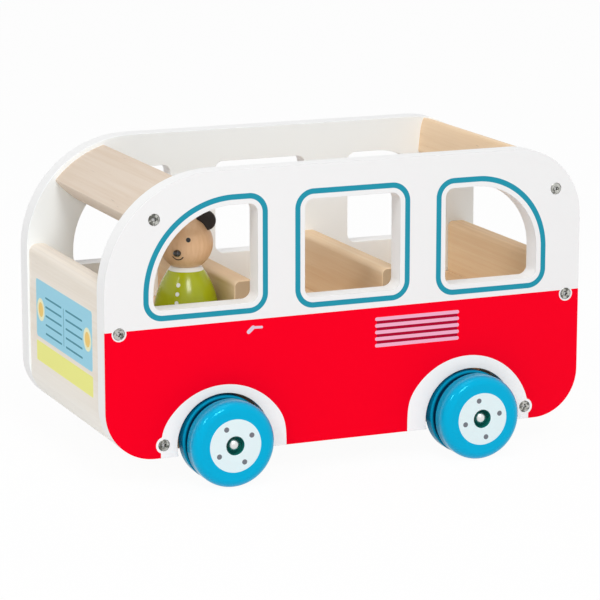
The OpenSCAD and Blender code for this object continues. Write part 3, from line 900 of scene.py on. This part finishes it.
def bare_wood(name, light, dark, along="Y", fleck=0.0, ply_from=None, tint=None):
    """Bare wood with its grain along one axis, and the layers of plywood on top edges where asked."""
    make = Finish(name)
    axis = "XYZ".index(along)
    broad, fine, pores = [
        [lengthwise if i == axis else across for i in range(3)] for across, lengthwise in WOOD_FIGURE
    ]
    slow = make.noise(broad, detail=3, warp=0.4)
    lines = make.noise(fine, detail=5, roughness=0.6, warp=0.3)
    dots = make.noise(pores, detail=2)
    share = make.plus(make.times(slow, 0.6), make.times(lines, 0.55))
    base = make.mix(make.ramp(share, 0.35, 0.8), light, dark)
    specks = make.times(make.ramp(dots, 0.68, 0.78), fleck)
    base = make.mix(specks, base, shade(dark, 0.6))
    normal = make.node("SeparateXYZ", {0: make.node("TexCoord").outputs["Normal"]})
    # End faces darker: partly the real darker end grain, partly painted shade for ends that lie in shadow
    end_grain_and_shade = make.ramp(make.size(normal.outputs[axis]), 0.7, 0.95)
    base = make.mix(end_grain_and_shade, base, shade(dark, 0.55))
    if ply_from is not None:
        layers = make.math("SINE", make.times(make.minus(make.x, ply_from), math.pi / PLY))
        edge = make.both(make.ramp(normal.outputs[2], 0.5, 0.8), make.ramp(layers, -0.3, 0.3))
        base = make.mix(make.times(edge, 0.2), base, shade(dark, 0.75))
    if tint:
        base = tint(make, base)
    height = make.plus(lines, make.times(dots, 0.4))
    make.bump(height, 0.00012, 0.35)
    rough = make.vary(0.5, lines, 0.18)
    return make.done(Base_Color=base, Roughness=rough, Specular_IOR_Level=0.3)


def front_print(make, base):
    """Grille, headlamps and bare plate on the front board's face, over painted bounce light that lightens the
    whole board towards its lower edge.
    """
    prints = bpy.context.scene.toy_bus_print
    wood = bpy.context.scene.toy_bus_wood
    front = make.face(make.x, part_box("front_board")[1].x, FRONT_PRINT)
    # Painted bounce light: the board turns lighter from the grille's lower edge down to its own lower edge
    base = make.mix(make.ramp(make.z, prints.grille_low, PANEL_LOW.z), base, wood.pale_low_painted_bounce)
    across = make.size(make.y)
    flat = make.flat(across, make.z)
    half = prints.grille_half_width
    corners = (-half, prints.grille_low), (half, prints.grille_high)
    field = make.box_distance(flat, *corners, prints.grille_corner)
    tint = make.mix(make.inside(field), base, prints.grille)
    thick = prints.grille_line_width / 2
    low = prints.grille_line_low - thick
    high = prints.grille_line_low + (GRILLE_LINES - 1) * prints.grille_line_pitch + thick
    lifted = make.minus(make.z, prints.grille_line_low)
    line_flat = make.flat(across, make.repeat(lifted, prints.grille_line_pitch))
    corners = (prints.grille_line_start, -thick), (prints.grille_line_end, thick)
    line = make.box_distance(line_flat, *corners, thick)
    tall = make.box_distance(flat, (0, low), (half, high), thick)
    level = make.both(make.inside(line), make.inside(tall))
    post = make.inside(make.box_distance(flat, (-thick, low), (thick, high), thick))
    lines = make.math("MAXIMUM", level, make.times(post, prints.post_strength))
    tint = make.mix(lines, tint, prints.grille_line)
    lamp = make.distance(flat, prints.lamp_offset, prints.lamp_height)
    tint = make.mix(make.within(lamp, prints.lamp_ring_radius), tint, prints.lamp_ring)
    tint = make.mix(make.within(lamp, prints.lamp_radius), tint, prints.lamp)
    half = prints.plate_half_width
    corners = (-half, prints.plate_low), (half, prints.plate_high)
    plate = make.box_distance(flat, *corners, prints.plate_corner)
    tint = make.mix(make.inside(plate), tint, prints.plate)
    return make.mix(front, base, tint)


def wheel_gloss(name, axle_x, axle_z, turn):
    """Gloss blue with a white hub and grey dots on the outer face, with painted shade in the recess, on the
    tread and in the groove.
    """
    wheels = bpy.context.scene.toy_bus_wheels
    make = Finish(name)
    flat = make.flat(make.minus(make.x, axle_x), make.minus(make.z, axle_z))
    out = make.size(make.y)
    outer = make.face(out, WHEEL_HIGH.y, HUB_PRINT)
    radius = make.distance(flat, 0, 0)
    hub = make.both(outer, make.within(radius, wheels.hub_radius))
    tint = make.mix(hub, wheels.blue, wheels.hub)
    split = make.node("SeparateXYZ", {0: flat})
    heading = make.minus(make.math("ARCTAN2", split.outputs[2], split.outputs[0]), turn)
    sector = make.repeat(heading, 2 * math.pi / HUB_DOTS)
    spoke = make.flat(*[make.times(radius, make.math(wave, sector)) for wave in ("COSINE", "SINE")])
    dot = make.within(make.distance(spoke, wheels.dot_circle, 0), wheels.dot_radius)
    tint = make.mix(make.both(outer, dot), tint, wheels.dot)
    # Painted shade and reflection inside the recess
    deep = make.both(make.face(out, WHEEL_HIGH.y, RECESS_SHADE),
                     make.within(radius, wheels.recess_radius + wheels.recess_round / 2))
    tint = make.mix(deep, tint, wheels.recess)
    rim = (WHEEL_HIGH.z - WHEEL_LOW.z) / 2
    face_edge = WHEEL_HIGH.y - wheels.outer_round
    band_edge = WHEEL_HIGH.y - wheels.outer_band
    bend = wheels.outer_round
    # Painted shade: the tread and the outer part of the rounding turn a darker blue
    side = make.both(make.ramp(radius, rim - bend, rim - bend / 2),
                     make.ramp(out, face_edge + 0.2 * bend, face_edge - 0.4 * bend))
    tint = make.mix(side, tint, wheels.tread)
    # Painted shade on the groove's floor
    groove = make.both(make.ramp(radius, rim - 0.2 * wheels.groove_depth, rim - 0.6 * wheels.groove_depth),
                       make.ramp(out, band_edge + GROOVE_SHADE_FADE, band_edge))
    tint = make.mix(groove, tint, wheels.groove)
    peel = make.noise(260, detail=2)
    make.bump(peel, 0.00005, 0.3)
    rough = make.plus(0.03, make.times(make.plus(hub, peel), 0.12))
    shine = make.minus(0.5, make.times(side, 0.47))
    return make.done(Base_Color=tint, Roughness=rough, Specular_IOR_Level=shine,
                     Specular_Tint=make.mix(hub, wheels.glint, (1, 1, 1)))


def metal(name, colour_of_metal, roughness):
    """Bare metal with fine scratches."""
    make = Finish(name)
    lines = make.noise((900, 120, 900), detail=3)
    tint = make.mix(lines, shade(colour_of_metal, 0.82), colour_of_metal)
    make.bump(lines, 0.00003, 0.4)
    rough = make.vary(roughness, lines, 0.15)
    return make.done(Base_Color=tint, Roughness=rough, Metallic=1)


def screw_zinc():
    """Zinc with dull patches, dark inside the cross recess."""
    screws = bpy.context.scene.toy_bus_screws
    make = Finish("screw_zinc")
    patches = make.noise(520, detail=3)
    tint = make.mix(make.ramp(patches, 0.42, 0.6), screws.zinc, screws.tarnish)
    floor = PANEL_HIGH.y - screws.sunk - screws.cross_depth / 3
    deep = make.ramp(make.size(make.y), floor, floor - screws.cross_depth / 4)
    tint = make.mix(deep, tint, screws.shade)
    scratches = make.noise(1800, detail=3)
    make.bump(scratches, 0.00003, 0.4)
    rough = make.vary(0.2, scratches, 0.15)
    return make.done(Base_Color=tint, Roughness=rough, Metallic=1)


def moulded(name, colour_of_plastic):
    """Dull moulded plastic with a fine texture."""
    make = Finish(name)
    grain = make.noise(1500, detail=2)
    tint = make.mix(grain, colour_of_plastic, shade(colour_of_plastic, 1.5))
    make.bump(grain, 0.00004, 0.4)
    rough = make.vary(0.4, grain, 0.2)
    return make.done(Base_Color=tint, Roughness=rough)


def driver_gloss(stand, neck_z):
    """Gloss lime body with a plain white band round the neck and three buttons."""
    driver = bpy.context.scene.toy_bus_driver
    make = Finish("driver_gloss")
    band_edge = neck_z - driver.band_width
    band = make.ramp(make.z, band_edge, band_edge + PRINT_BLUR)
    cloud = make.noise(60, detail=3)
    green = make.mix(cloud, shade(driver.green, 0.86), shade(driver.green, 1.08))
    tint = make.mix(band, green, driver.collar)
    ahead = Vector((math.cos(driver.turn), math.sin(driver.turn), 0))
    offset = make.vector("SUBTRACT", make.place, stand)
    before = make.ramp(make.along(offset, ahead), 0, PRINT_BLUR)
    front = make.flat(make.along(offset, ahead.cross(Vector((0, 0, 1)))), make.z)
    for i in range(BUTTONS):
        away = make.distance(front, 0, neck_z - driver.button_drop - i * driver.button_pitch)
        button = make.both(before, make.within(away, driver.button_radius))
        tint = make.mix(button, tint, driver.collar)
    make.bump(make.noise((300, 300, 160), detail=3), 0.00006, 0.3)
    rough = make.vary(0.12, cloud, 0.12)
    return make.done(Base_Color=tint, Roughness=rough, Specular_IOR_Level=0.4)


def driver_varnish(middle, radius, heading):
    """Varnished wooden head with dot eyes and a small smile of a plain peg bear."""
    driver = bpy.context.scene.toy_bus_driver
    make = Finish("driver_varnish")
    rings = make.noise((160, 160, 14), detail=4, warp=0.5)
    fine = make.noise((900, 900, 50), detail=3)
    share = make.plus(make.times(rings, 0.7), make.times(fine, 0.4))
    tint = make.mix(make.ramp(share, 0.35, 0.8), driver.skin, driver.skin_grain)
    ink = driver.ink

    def on_head(aside, up):
        """Point on the head's surface, by two angles from straight ahead."""
        ahead = Matrix.Rotation(aside, 3, "Z") @ Matrix.Rotation(-up, 3, "Y") @ Vector((1, 0, 0))
        return middle + radius * (heading @ ahead)

    for side in SIDES.values():
        eye = on_head(-side * driver.eye_aside, driver.eye_height)
        tint = make.mix(make.within(make.gap(make.place, eye), driver.eye_radius), tint, ink)
    smile = on_head(0, -driver.smile_drop)
    off_line = make.size(make.minus(make.gap(make.place, smile), driver.smile_radius))
    top = smile.z - driver.smile_top
    below = make.ramp(make.z, top, top - 2 * PRINT_BLUR)
    tint = make.mix(make.both(make.within(off_line, driver.smile_width / 2), below), tint, ink)
    make.bump(fine, 0.00005, 0.25)
    return make.done(Base_Color=tint, Roughness=make.vary(0.25, fine, 0.15), Specular_IOR_Level=0.4)


def ear_felt():
    """Wool felt with a loose nap."""
    driver = bpy.context.scene.toy_bus_driver
    make = Finish("ear_felt")
    nap = make.noise(2600, detail=4, roughness=0.7)
    tint = make.mix(nap, shade(driver.felt, 0.5), shade(driver.felt, 1.9))
    make.bump(nap, 0.0002, 0.7)
    return make.done(Base_Color=tint, Roughness=0.95, Sheen_Weight=0.4, Sheen_Roughness=0.5)


def bead_black():
    """Glossy black bead."""
    driver = bpy.context.scene.toy_bus_driver
    make = Finish("bead_black")
    cloud = make.noise(700, detail=2)
    tint = make.mix(cloud, driver.bead, driver.bead_light)
    make.bump(cloud, 0.00003, 0.2)
    return make.done(Base_Color=tint, Roughness=0.12, Coat_Weight=0.5)


class TOYBUS_OT_side_panels(bpy.types.Operator):
    """Models the two painted side panels"""

    bl_idname = "toybus.side_panels"
    bl_label = "Side panels"

    def execute(self, context):
        sizes = context.scene.toy_bus_body
        screws = context.scene.toy_bus_screws
        finish = panel_paint()
        axles, axle_z = axle_places()
        arch_radius = (WHEEL_HIGH.z - WHEEL_LOW.z) / 2 + sizes.arch_gap
        sink = screws.head_diameter / 2 + screws.sink_gap
        for word, side in SIDES.items():
            low_y, high_y = sorted((side * PANEL_LOW.y, side * PANEL_HIGH.y))
            under_y, over_y = low_y - OVERRUN, high_y + OVERRUN
            panel = outline_block("painted_" + word + "_panel", low_y, high_y)
            for low, high, front_radius, rear_radius in window_boxes(sizes):
                radii = (front_radius, rear_radius, sizes.window_corner, sizes.window_corner)
                corners = (low[0], under_y, low[1]), (high[0], over_y, high[1])
                carve(panel, rounded_block("tool", *corners, radii, WINDOW_STEPS))
            for x in axles:
                place = (x, (low_y + high_y) / 2, axle_z - sizes.arch_drop)
                carve(panel, add_rod("tool", arch_radius, over_y - under_y, place))
            soften(panel, sizes.edge_round, 4)
            for x, z in screw_spots(word + "_panel_screws"):
                place = (x, side * PANEL_HIGH.y, z)
                carve(panel, add_rod("tool", sink, screws.head_diameter / 2, place, TINY_STEPS))
            smooth(panel)
            dress(panel, finish, BUS, "panel_paint", word + "_side_panel")
        return {"FINISHED"}


def board(name, node, rounds, top_round, follow_outline=False):
    """Board of a CAD node's size, with the top edges rounded that are named by their place."""
    sizes = bpy.context.scene.toy_bus_body
    low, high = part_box(node)
    piece = add_box(name, low, high)
    if follow_outline:
        carve(piece, outline_block("tool", low.y - OVERRUN, high.y + OVERRUN), "INTERSECT")
    places = {"front": high.x, "rear": low.x}
    for end in rounds:
        round_edges_at(piece, places[end], high.z, top_round, EDGE_STEPS)
    soften(piece, sizes.board_edge_round)
    smooth(piece)
    return piece


class TOYBUS_OT_end_boards(bpy.types.Operator):
    """Models the printed front board and the plain rear board"""

    bl_idname = "toybus.end_boards"
    bl_label = "End boards"

    def execute(self, context):
        sizes = context.scene.toy_bus_body
        wood = context.scene.toy_bus_wood
        rows = (
            ("front", wood.pale, wood.pale_grain, sizes.front_board_round, front_print),
            ("rear", wood.cabin, wood.cabin_grain, sizes.board_top_round, None),
        )
        for end, light, dark, top_round, tint in rows:
            node = end + "_board"
            ply_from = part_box(node)[0].x
            finish = bare_wood(node + "_wood", light, dark, fleck=0.25, ply_from=ply_from, tint=tint)
            piece = board(end + "_end_board", node, ENDS, top_round, follow_outline=True)
            dress(piece, finish, BUS, "pale_board", node)
        return {"FINISHED"}


class TOYBUS_OT_headers(bpy.types.Operator):
    """Models the two curved headers that close the roof"""

    bl_idname = "toybus.headers"
    bl_label = "Headers"

    def execute(self, context):
        sizes = context.scene.toy_bus_body
        wood = context.scene.toy_bus_wood
        for end, end_x, ahead in zip(ENDS, (PANEL_HIGH.x, PANEL_LOW.x), (1, -1)):
            node = end + "_header"
            low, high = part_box(node)
            radius = getattr(sizes, end + "_top_radius")
            corner = Vector((end_x - ahead * radius, 0, PANEL_HIGH.z - radius))
            outer = radius - getattr(sizes, node + "_inset")
            depth = getattr(sizes, node + "_depth")
            inner = outer - depth
            start, stop = sorted((getattr(sizes, node + "_low"), getattr(sizes, node + "_high")))
            clear_selection()
            bpy.ops.mesh.primitive_plane_add(size=1, location=((inner + outer) / 2, 0, 0))
            bpy.context.object.scale = (depth, high.y - low.y, 1)
            piece = settle(end + "_roof_header")
            piece.rotation_euler = (0, -start, 0)
            piece.location = corner
            piece = settle(piece.name)
            bpy.ops.object.mode_set(mode="EDIT")
            bpy.ops.mesh.select_all(action="SELECT")
            bpy.ops.mesh.spin(steps=OUTLINE_STEPS, angle=stop - start, center=corner, axis=(0, 1, 0))
            close_edit()
            heal(piece)
            rounds = ((inner, sizes.header_inner_round), (outer, getattr(sizes, node + "_round")))
            for turn in (start, stop):
                for reach, rounding in rounds:
                    x = corner.x + reach * math.cos(turn)
                    z = corner.z + reach * math.sin(turn)
                    round_edges_at(piece, x, z, rounding, HEADER_STEPS)
            smooth(piece)
            finish = bare_wood(node + "_wood", getattr(wood, node), getattr(wood, node + "_grain"), fleck=0.5)
            dress(piece, finish, BUS, "header_wood", node)
        return {"FINISHED"}


class TOYBUS_OT_benches(bpy.types.Operator):
    """Models the seat-backs, seats and risers of the benches"""

    bl_idname = "toybus.benches"
    bl_label = "Benches"

    def execute(self, context):
        top_round = context.scene.toy_bus_body.board_top_round
        wood = context.scene.toy_bus_wood
        finish = bare_wood("bench_wood", wood.bench, wood.bench_grain, fleck=0.2)
        boards = {"back": ENDS, "seat": ("front",), "riser": ()}
        for bench in ("front", "middle", "rear"):
            for part, rounds in boards.items():
                node = bench + "_bench_" + part
                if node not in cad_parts:
                    continue
                piece = board(bench + "_" + part + "_board", node, rounds, top_round)
                dress(piece, finish, BUS, "cabin_wood", node)
        return {"FINISHED"}


class TOYBUS_OT_floor(bpy.types.Operator):
    """Finishes the floor board, the keeper strips and the driver's dowel"""

    bl_idname = "toybus.floor"
    bl_label = "Floor"

    def execute(self, context):
        wood = context.scene.toy_bus_wood
        floor = bare_wood("floor_wood", wood.cabin, wood.cabin_grain, along="X", fleck=0.2)
        dress_node("floor_board", floor)
        strip = bare_wood("keeper_wood", wood.cabin_grain, shade(wood.cabin_grain, 0.7), fleck=0.4)
        for node in ("front_axle_keeper", "rear_axle_keeper", "driver_neck_dowel"):
            dress_node(node, strip)
        return {"FINISHED"}


class TOYBUS_OT_wheels(bpy.types.Operator):
    """Models the gloss wheels"""

    bl_idname = "toybus.wheels"
    bl_label = "Wheels"

    def profile(self, wheels):
        """Radius and height of the wheel's section, from the bore at the inner face round and back."""
        radius = (WHEEL_HIGH.z - WHEEL_LOW.z) / 2
        width = WHEEL_HIGH.y - WHEEL_LOW.y
        top = width - wheels.outer_band
        low = top - wheels.groove_width
        floor = radius - wheels.groove_depth
        edge = wheels.groove_round
        inside = wheels.inner_round
        outside = wheels.outer_round
        lip = wheels.recess_round
        bottom = width - wheels.recess_depth
        points = [(wheels.bore_radius, 0)]
        points += arc((radius - inside, inside), inside, -90, 0, EDGE_STEPS)
        points += arc((radius - edge, low - edge), edge, 0, 90, GROOVE_STEPS)
        points += arc((floor + edge, low + edge), edge, -90, -180, GROOVE_STEPS)
        points += arc((floor + edge, top - edge), edge, 180, 90, GROOVE_STEPS)
        points += arc((radius - edge, top + edge), edge, -90, 0, GROOVE_STEPS)
        points += arc((radius - outside, width - outside), outside, 0, 90, 2 * EDGE_STEPS)
        points += [(wheels.hub_radius, width)]
        points += arc((wheels.recess_radius + lip, width - lip), lip, 90, 180, LIP_STEPS)
        points += [(wheels.recess_radius, bottom), (wheels.bore_radius, bottom), (wheels.bore_radius, 0)]
        return points

    def execute(self, context):
        wheels = context.scene.toy_bus_wheels
        axles, axle_z = axle_places()
        master = turn_on_lathe("wheel_master", self.profile(wheels), closed=True)
        turns = (wheels.front_turn, wheels.rear_turn)
        for end, axle_x, turn in zip(ENDS, axles, turns):
            finish = wheel_gloss(end + "_wheel_gloss", axle_x, axle_z, turn)
            for word, side in SIDES.items():
                place = outward(axle_x, side * WHEEL_LOW.y, axle_z, side)
                wheel = copy_of(master, end + "_" + word + "_gloss_wheel", place)
                smooth(wheel)
                node = end + "_" + word + "_wheel"
                dress(wheel, finish, node, "wheel_paint", node)
        bpy.data.objects.remove(master)
        return {"FINISHED"}


class TOYBUS_OT_running_gear(bpy.types.Operator):
    """Models the domed caps and finishes the axles and spacers"""

    bl_idname = "toybus.running_gear"
    bl_label = "Caps and axles"

    def execute(self, context):
        wheels = context.scene.toy_bus_wheels
        axles, axle_z = axle_places()
        low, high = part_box("front_left_cap")
        radius = (high.z - low.z) / 2
        height = high.y - low.y
        dome = arc((0, height - radius), radius, *CAP_ARC, DOME_STEPS)
        profile = [(radius, 0)] + [point for point in dome if point[1] > 0]
        master = turn_on_lathe("cap_master", profile, steps=SMALL_STEPS)
        polish = metal("cap_polish", wheels.cap, 0.24)
        for end, axle_x in zip(ENDS, axles):
            for word, side in SIDES.items():
                place = outward(axle_x, side * low.y, axle_z, side)
                cap = copy_of(master, end + "_" + word + "_domed_cap", place)
                smooth(cap)
                dress(cap, polish, BUS, "cap_steel", end + "_" + word + "_cap")
        bpy.data.objects.remove(master)
        steel = metal("axle_steel", wheels.axle, 0.25)
        nylon = moulded("washer_nylon", wheels.spacer)
        for end in ENDS:
            dress_node(end + "_axle", steel)
            for word in SIDES:
                dress_node(end + "_" + word + "_spacer", nylon)
        return {"FINISHED"}


class TOYBUS_OT_screws(bpy.types.Operator):
    """Models the cross-head screws of the side panels and finishes those of the benches"""

    bl_idname = "toybus.screws"
    bl_label = "Screws"

    def screw(self, screws):
        """Screw with its head at the origin and its point along -Z."""
        head = screws.head_diameter / 2
        shank = screws.shank_diameter / 2
        rim = screws.rim_round
        profile = [
            (shank / 5, -screws.length),
            (shank, screws.tip - screws.length),
            (shank, shank - head),
            (head, -rim),
            (head - rim, 0),
        ]
        piece = turn_on_lathe("screw_master", profile, steps=TINY_STEPS)
        for turn in (0, math.pi / 2):
            reach = screws.cross_span / 2
            wide = screws.cross_slot / 2
            slot = add_box("tool", (-reach, -wide, -screws.cross_depth), (reach, wide, OVERRUN))
            pick(slot, "FACE", lambda face: face.normal.z < -0.5)
            taper = (screws.cross_reach, screws.cross_taper, 1)
            bpy.ops.transform.resize(value=taper, center_override=(0, 0, -screws.cross_depth))
            close_edit()
            slot.rotation_euler = (0, 0, turn)
            carve(piece, slot)
        soften(piece, screws.rim_round / 2, 2)
        return piece

    def execute(self, context):
        screws = context.scene.toy_bus_screws
        zinc = screw_zinc()
        master = self.screw(screws)
        for word, side in SIDES.items():
            node = word + "_panel_screws"
            copies = []
            for i, (x, z) in enumerate(screw_spots(node)):
                turn = Matrix.Rotation(i * screws.turn_step, 4, "Z")
                place = outward(x, side * (PANEL_HIGH.y - screws.sunk), z, side) @ turn
                copies.append(copy_of(master, word + "_screw", place))
            keep_alone(copies[0])
            for copy in copies:
                copy.select_set(True)
            bpy.ops.object.join()
            piece = settle(word + "_cross_head_screws")
            smooth(piece)
            dress(piece, zinc, BUS, "screw_steel", node)
        bpy.data.objects.remove(master)
        dress_node("bench_screws", zinc)
        return {"FINISHED"}


class TOYBUS_OT_driver(bpy.types.Operator):
    """Models the peg driver's body, head, ears and nose"""

    bl_idname = "toybus.driver"
    bl_label = "Peg driver"

    def body(self, sizes, low, high, stand):
        """Turned body with a straight skirt and round shoulders."""
        base = (high.x - low.x) / 2
        rise = high.z - low.z - sizes.skirt
        step = base - sizes.neck_radius
        shoulder = (rise ** 2 + step ** 2) / (2 * step)
        sweep = math.degrees(math.asin(rise / shoulder))
        edge = sizes.base_round
        profile = arc((base - edge, edge), edge, -90, 0, GROOVE_STEPS)
        profile += arc((base - shoulder, sizes.skirt), shoulder, 0, sweep, OUTLINE_STEPS)
        body = put(turn_on_lathe("driver_painted_body", profile), Matrix.Translation(stand))
        smooth(body)
        dress(body, driver_gloss(stand, high.z), DRIVER, "driver_paint", "driver_body")

    def head(self, sizes, middle, radius, facing):
        """Ball with a flat where it meets the neck."""
        start = -math.degrees(math.acos(sizes.neck_radius / radius))
        ball = arc((0, 0), radius, start, CROWN, BALL_STEPS)
        head = put(turn_on_lathe("driver_ball_head", ball), Matrix.Translation(middle))
        smooth(head)
        varnish = driver_varnish(middle, radius, facing.to_3x3())
        dress(head, varnish, DRIVER, "driver_wood", "driver_head")

    def ears(self, sizes, middle, radius, facing):
        """Two dished felt discs set in the head."""
        felt = ear_felt()
        across = sizes.ear_diameter
        dish = sizes.ear_thickness * sizes.ear_dish
        for word, side in SIDES.items():
            clear_selection()
            bpy.ops.mesh.primitive_cylinder_add(vertices=SMALL_STEPS, radius=across / 2,
                                                depth=sizes.ear_thickness)
            ear = settle("driver_" + word + "_felt_ear")
            pick(ear, "FACE", lambda face: face.normal.z > 0.5)
            bpy.ops.mesh.inset(thickness=across * sizes.ear_rim, depth=0)
            bpy.ops.mesh.inset(thickness=across * sizes.ear_slope, depth=-dish)
            close_edit()
            soften(ear, dish)
            lean = Matrix.Rotation(-side * sizes.ear_angle, 4, "X")
            reach = Matrix.Translation((0, 0, radius + across / 2 - sizes.ear_seat))
            upright = Matrix.Rotation(math.pi / 2, 4, "Y")
            smooth(put(ear, Matrix.Translation(middle) @ facing @ lean @ reach @ upright))
            dress(ear, felt, DRIVER, "ear_felt", "driver_" + word + "_ear")

    def nose(self, sizes, facing):
        """Bead, a little lower than wide."""
        low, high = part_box("driver_nose")
        tip = (low + high) / 2
        clear_selection()
        bpy.ops.mesh.primitive_uv_sphere_add(segments=TINY_STEPS, ring_count=TINY_STEPS // 2,
                                             radius=sizes.nose_diameter / 2)
        nose = put(settle("driver_bead_nose"), Matrix.Translation(tip) @ facing)
        bpy.ops.object.mode_set(mode="EDIT")
        bpy.ops.mesh.select_all(action="SELECT")
        bpy.ops.transform.resize(value=(1, 1, sizes.nose_squash), center_override=tip)
        close_edit()
        smooth(nose)
        dress(nose, bead_black(), DRIVER, "nose_bead", "driver_nose")

    def execute(self, context):
        sizes = context.scene.toy_bus_driver
        low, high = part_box("driver_body")
        stand = Vector(((low.x + high.x) / 2, (low.y + high.y) / 2, low.z))
        head_low, head_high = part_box("driver_head")
        radius = (head_high.x - head_low.x) / 2
        middle = Vector((stand.x, stand.y, head_high.z - radius))
        facing = Matrix.Rotation(sizes.turn, 4, "Z")
        self.body(sizes, low, high, stand)
        self.head(sizes, middle, radius, facing)
        self.ears(sizes, middle, radius, facing)
        self.nose(sizes, facing)
        return {"FINISHED"}


class TOYBUS_OT_stage(bpy.types.Operator):
    """Sets up the floor, the white surroundings, the lamps and the camera"""

    bl_idname = "toybus.stage"
    bl_label = "Stage"

    def lamp(self, name, place, size, power):
        """Square lamp that shines at the middle of the floor."""
        clear_selection()
        bpy.ops.object.light_add(type="AREA", location=place)
        lamp = bpy.context.object
        lamp.name = name + "_lamp"
        lamp.rotation_euler = (-Vector(place)).to_track_quat("-Z", "Y").to_euler()
        lamp.data.size = size
        lamp.data.energy = power

    def surroundings(self, scene, ambient):
        """World that looks white and throws a softer light."""
        scene.world = bpy.data.worlds.new("studio")
        scene.world.use_nodes = True
        make = Nodes(scene.world.node_tree)
        back = make.tree.nodes["Background"]
        make.feed(back.inputs["Color"], (1, 1, 1))
        through = make.node("LightPath").outputs["Is Transmission Ray"]
        white = make.math("MAXIMUM", make.seen(), through)
        level = make.node("MapRange", {"Value": white, "To Min": ambient, "To Max": 1})
        make.feed(back.inputs["Strength"], level.outputs["Result"])

    def floor(self, stage):
        """Floor that looks white and keeps the shadow."""
        clear_selection()
        bpy.ops.mesh.primitive_plane_add(size=stage.floor_size, location=(0, 0, 0))
        floor = settle("floor")
        make = Finish("studio_floor")
        lift = make.times(make.seen(), stage.floor_lift)
        glow = make.node("Emission").outputs[0]
        blend = make.node("MixShader", {0: lift, 1: make.shader.outputs[0], 2: glow})
        make.feed(make.tree.nodes["Material Output"].inputs["Surface"], blend.outputs[0])
        grey = [stage.floor_grey] * 3
        floor.data.materials.append(make.done(Base_Color=grey, Roughness=0.9, Specular_IOR_Level=0))

    def camera(self, scene, stage):
        """Camera at the view of the photograph."""
        clear_selection()
        bpy.ops.object.camera_add(location=stage.camera_place)
        camera = bpy.context.object
        camera.name = "photo_camera"
        aim = Vector(stage.camera_aim) - Vector(stage.camera_place)
        camera.rotation_euler = aim.to_track_quat("-Z", "Y").to_euler()
        camera.data.lens = stage.lens
        camera.data.sensor_width = stage.sensor
        camera.data.clip_start, camera.data.clip_end = CLIP
        scene.camera = camera

    def execute(self, context):
        stage = context.scene.toy_bus_stage
        context.scene.view_settings.view_transform = "Standard"
        self.surroundings(context.scene, stage.ambient)
        self.floor(stage)
        for name in ("key", "top", "front"):
            self.lamp(name, *[getattr(stage, name + part) for part in ("_place", "_size", "_power")])
        self.camera(context.scene, stage)
        return {"FINISHED"}


SETTINGS = {
    "toy_bus_body": ToyBusBody,
    "toy_bus_print": ToyBusPrint,
    "toy_bus_wood": ToyBusWood,
    "toy_bus_wheels": ToyBusWheels,
    "toy_bus_screws": ToyBusScrews,
    "toy_bus_driver": ToyBusDriver,
    "toy_bus_stage": ToyBusStage,
}

OPERATORS = (
    TOYBUS_OT_side_panels,
    TOYBUS_OT_end_boards,
    TOYBUS_OT_headers,
    TOYBUS_OT_benches,
    TOYBUS_OT_floor,
    TOYBUS_OT_wheels,
    TOYBUS_OT_running_gear,
    TOYBUS_OT_screws,
    TOYBUS_OT_driver,
    TOYBUS_OT_stage,
)


class TOYBUS_PT_panel(bpy.types.Panel):
    """Lists the toy bus's pieces and settings"""

    bl_idname = "TOYBUS_PT_panel"
    bl_label = "Toy Bus"
    bl_space_type = "VIEW_3D"
    bl_region_type = "UI"
    bl_category = "Toy Bus"

    def draw(self, context):
        """Draws a button for each piece and a box for each group of settings."""
        for operator in OPERATORS:
            self.layout.operator(operator.bl_idname)
        for name, group in SETTINGS.items():
            box = self.layout.box()
            box.label(text=group.__doc__)
            for key in group.__annotations__:
                box.prop(getattr(context.scene, name), key)


def register():
    """Adds the settings, the operators and the panel to Blender."""
    for group in SETTINGS.values():
        bpy.utils.register_class(group)
    for name, group in SETTINGS.items():
        setattr(bpy.types.Scene, name, PointerProperty(type=group))
    for operator in OPERATORS:
        bpy.utils.register_class(operator)
    bpy.utils.register_class(TOYBUS_PT_panel)


def unregister():
    """Takes the panel, the operators and the settings out of Blender again."""
    bpy.utils.unregister_class(TOYBUS_PT_panel)
    for operator in reversed(OPERATORS):
        bpy.utils.unregister_class(operator)
    for name, group in SETTINGS.items():
        delattr(bpy.types.Scene, name)
        bpy.utils.unregister_class(group)


def main():
    """Dresses the whole bus."""
    register()
    bpy.ops.toybus.stage()
    bpy.ops.toybus.side_panels()
    bpy.ops.toybus.end_boards()
    bpy.ops.toybus.headers()
    bpy.ops.toybus.benches()
    bpy.ops.toybus.floor()
    bpy.ops.toybus.wheels()
    bpy.ops.toybus.running_gear()
    bpy.ops.toybus.screws()
    bpy.ops.toybus.driver()


if __name__ == "__main__":
    main()
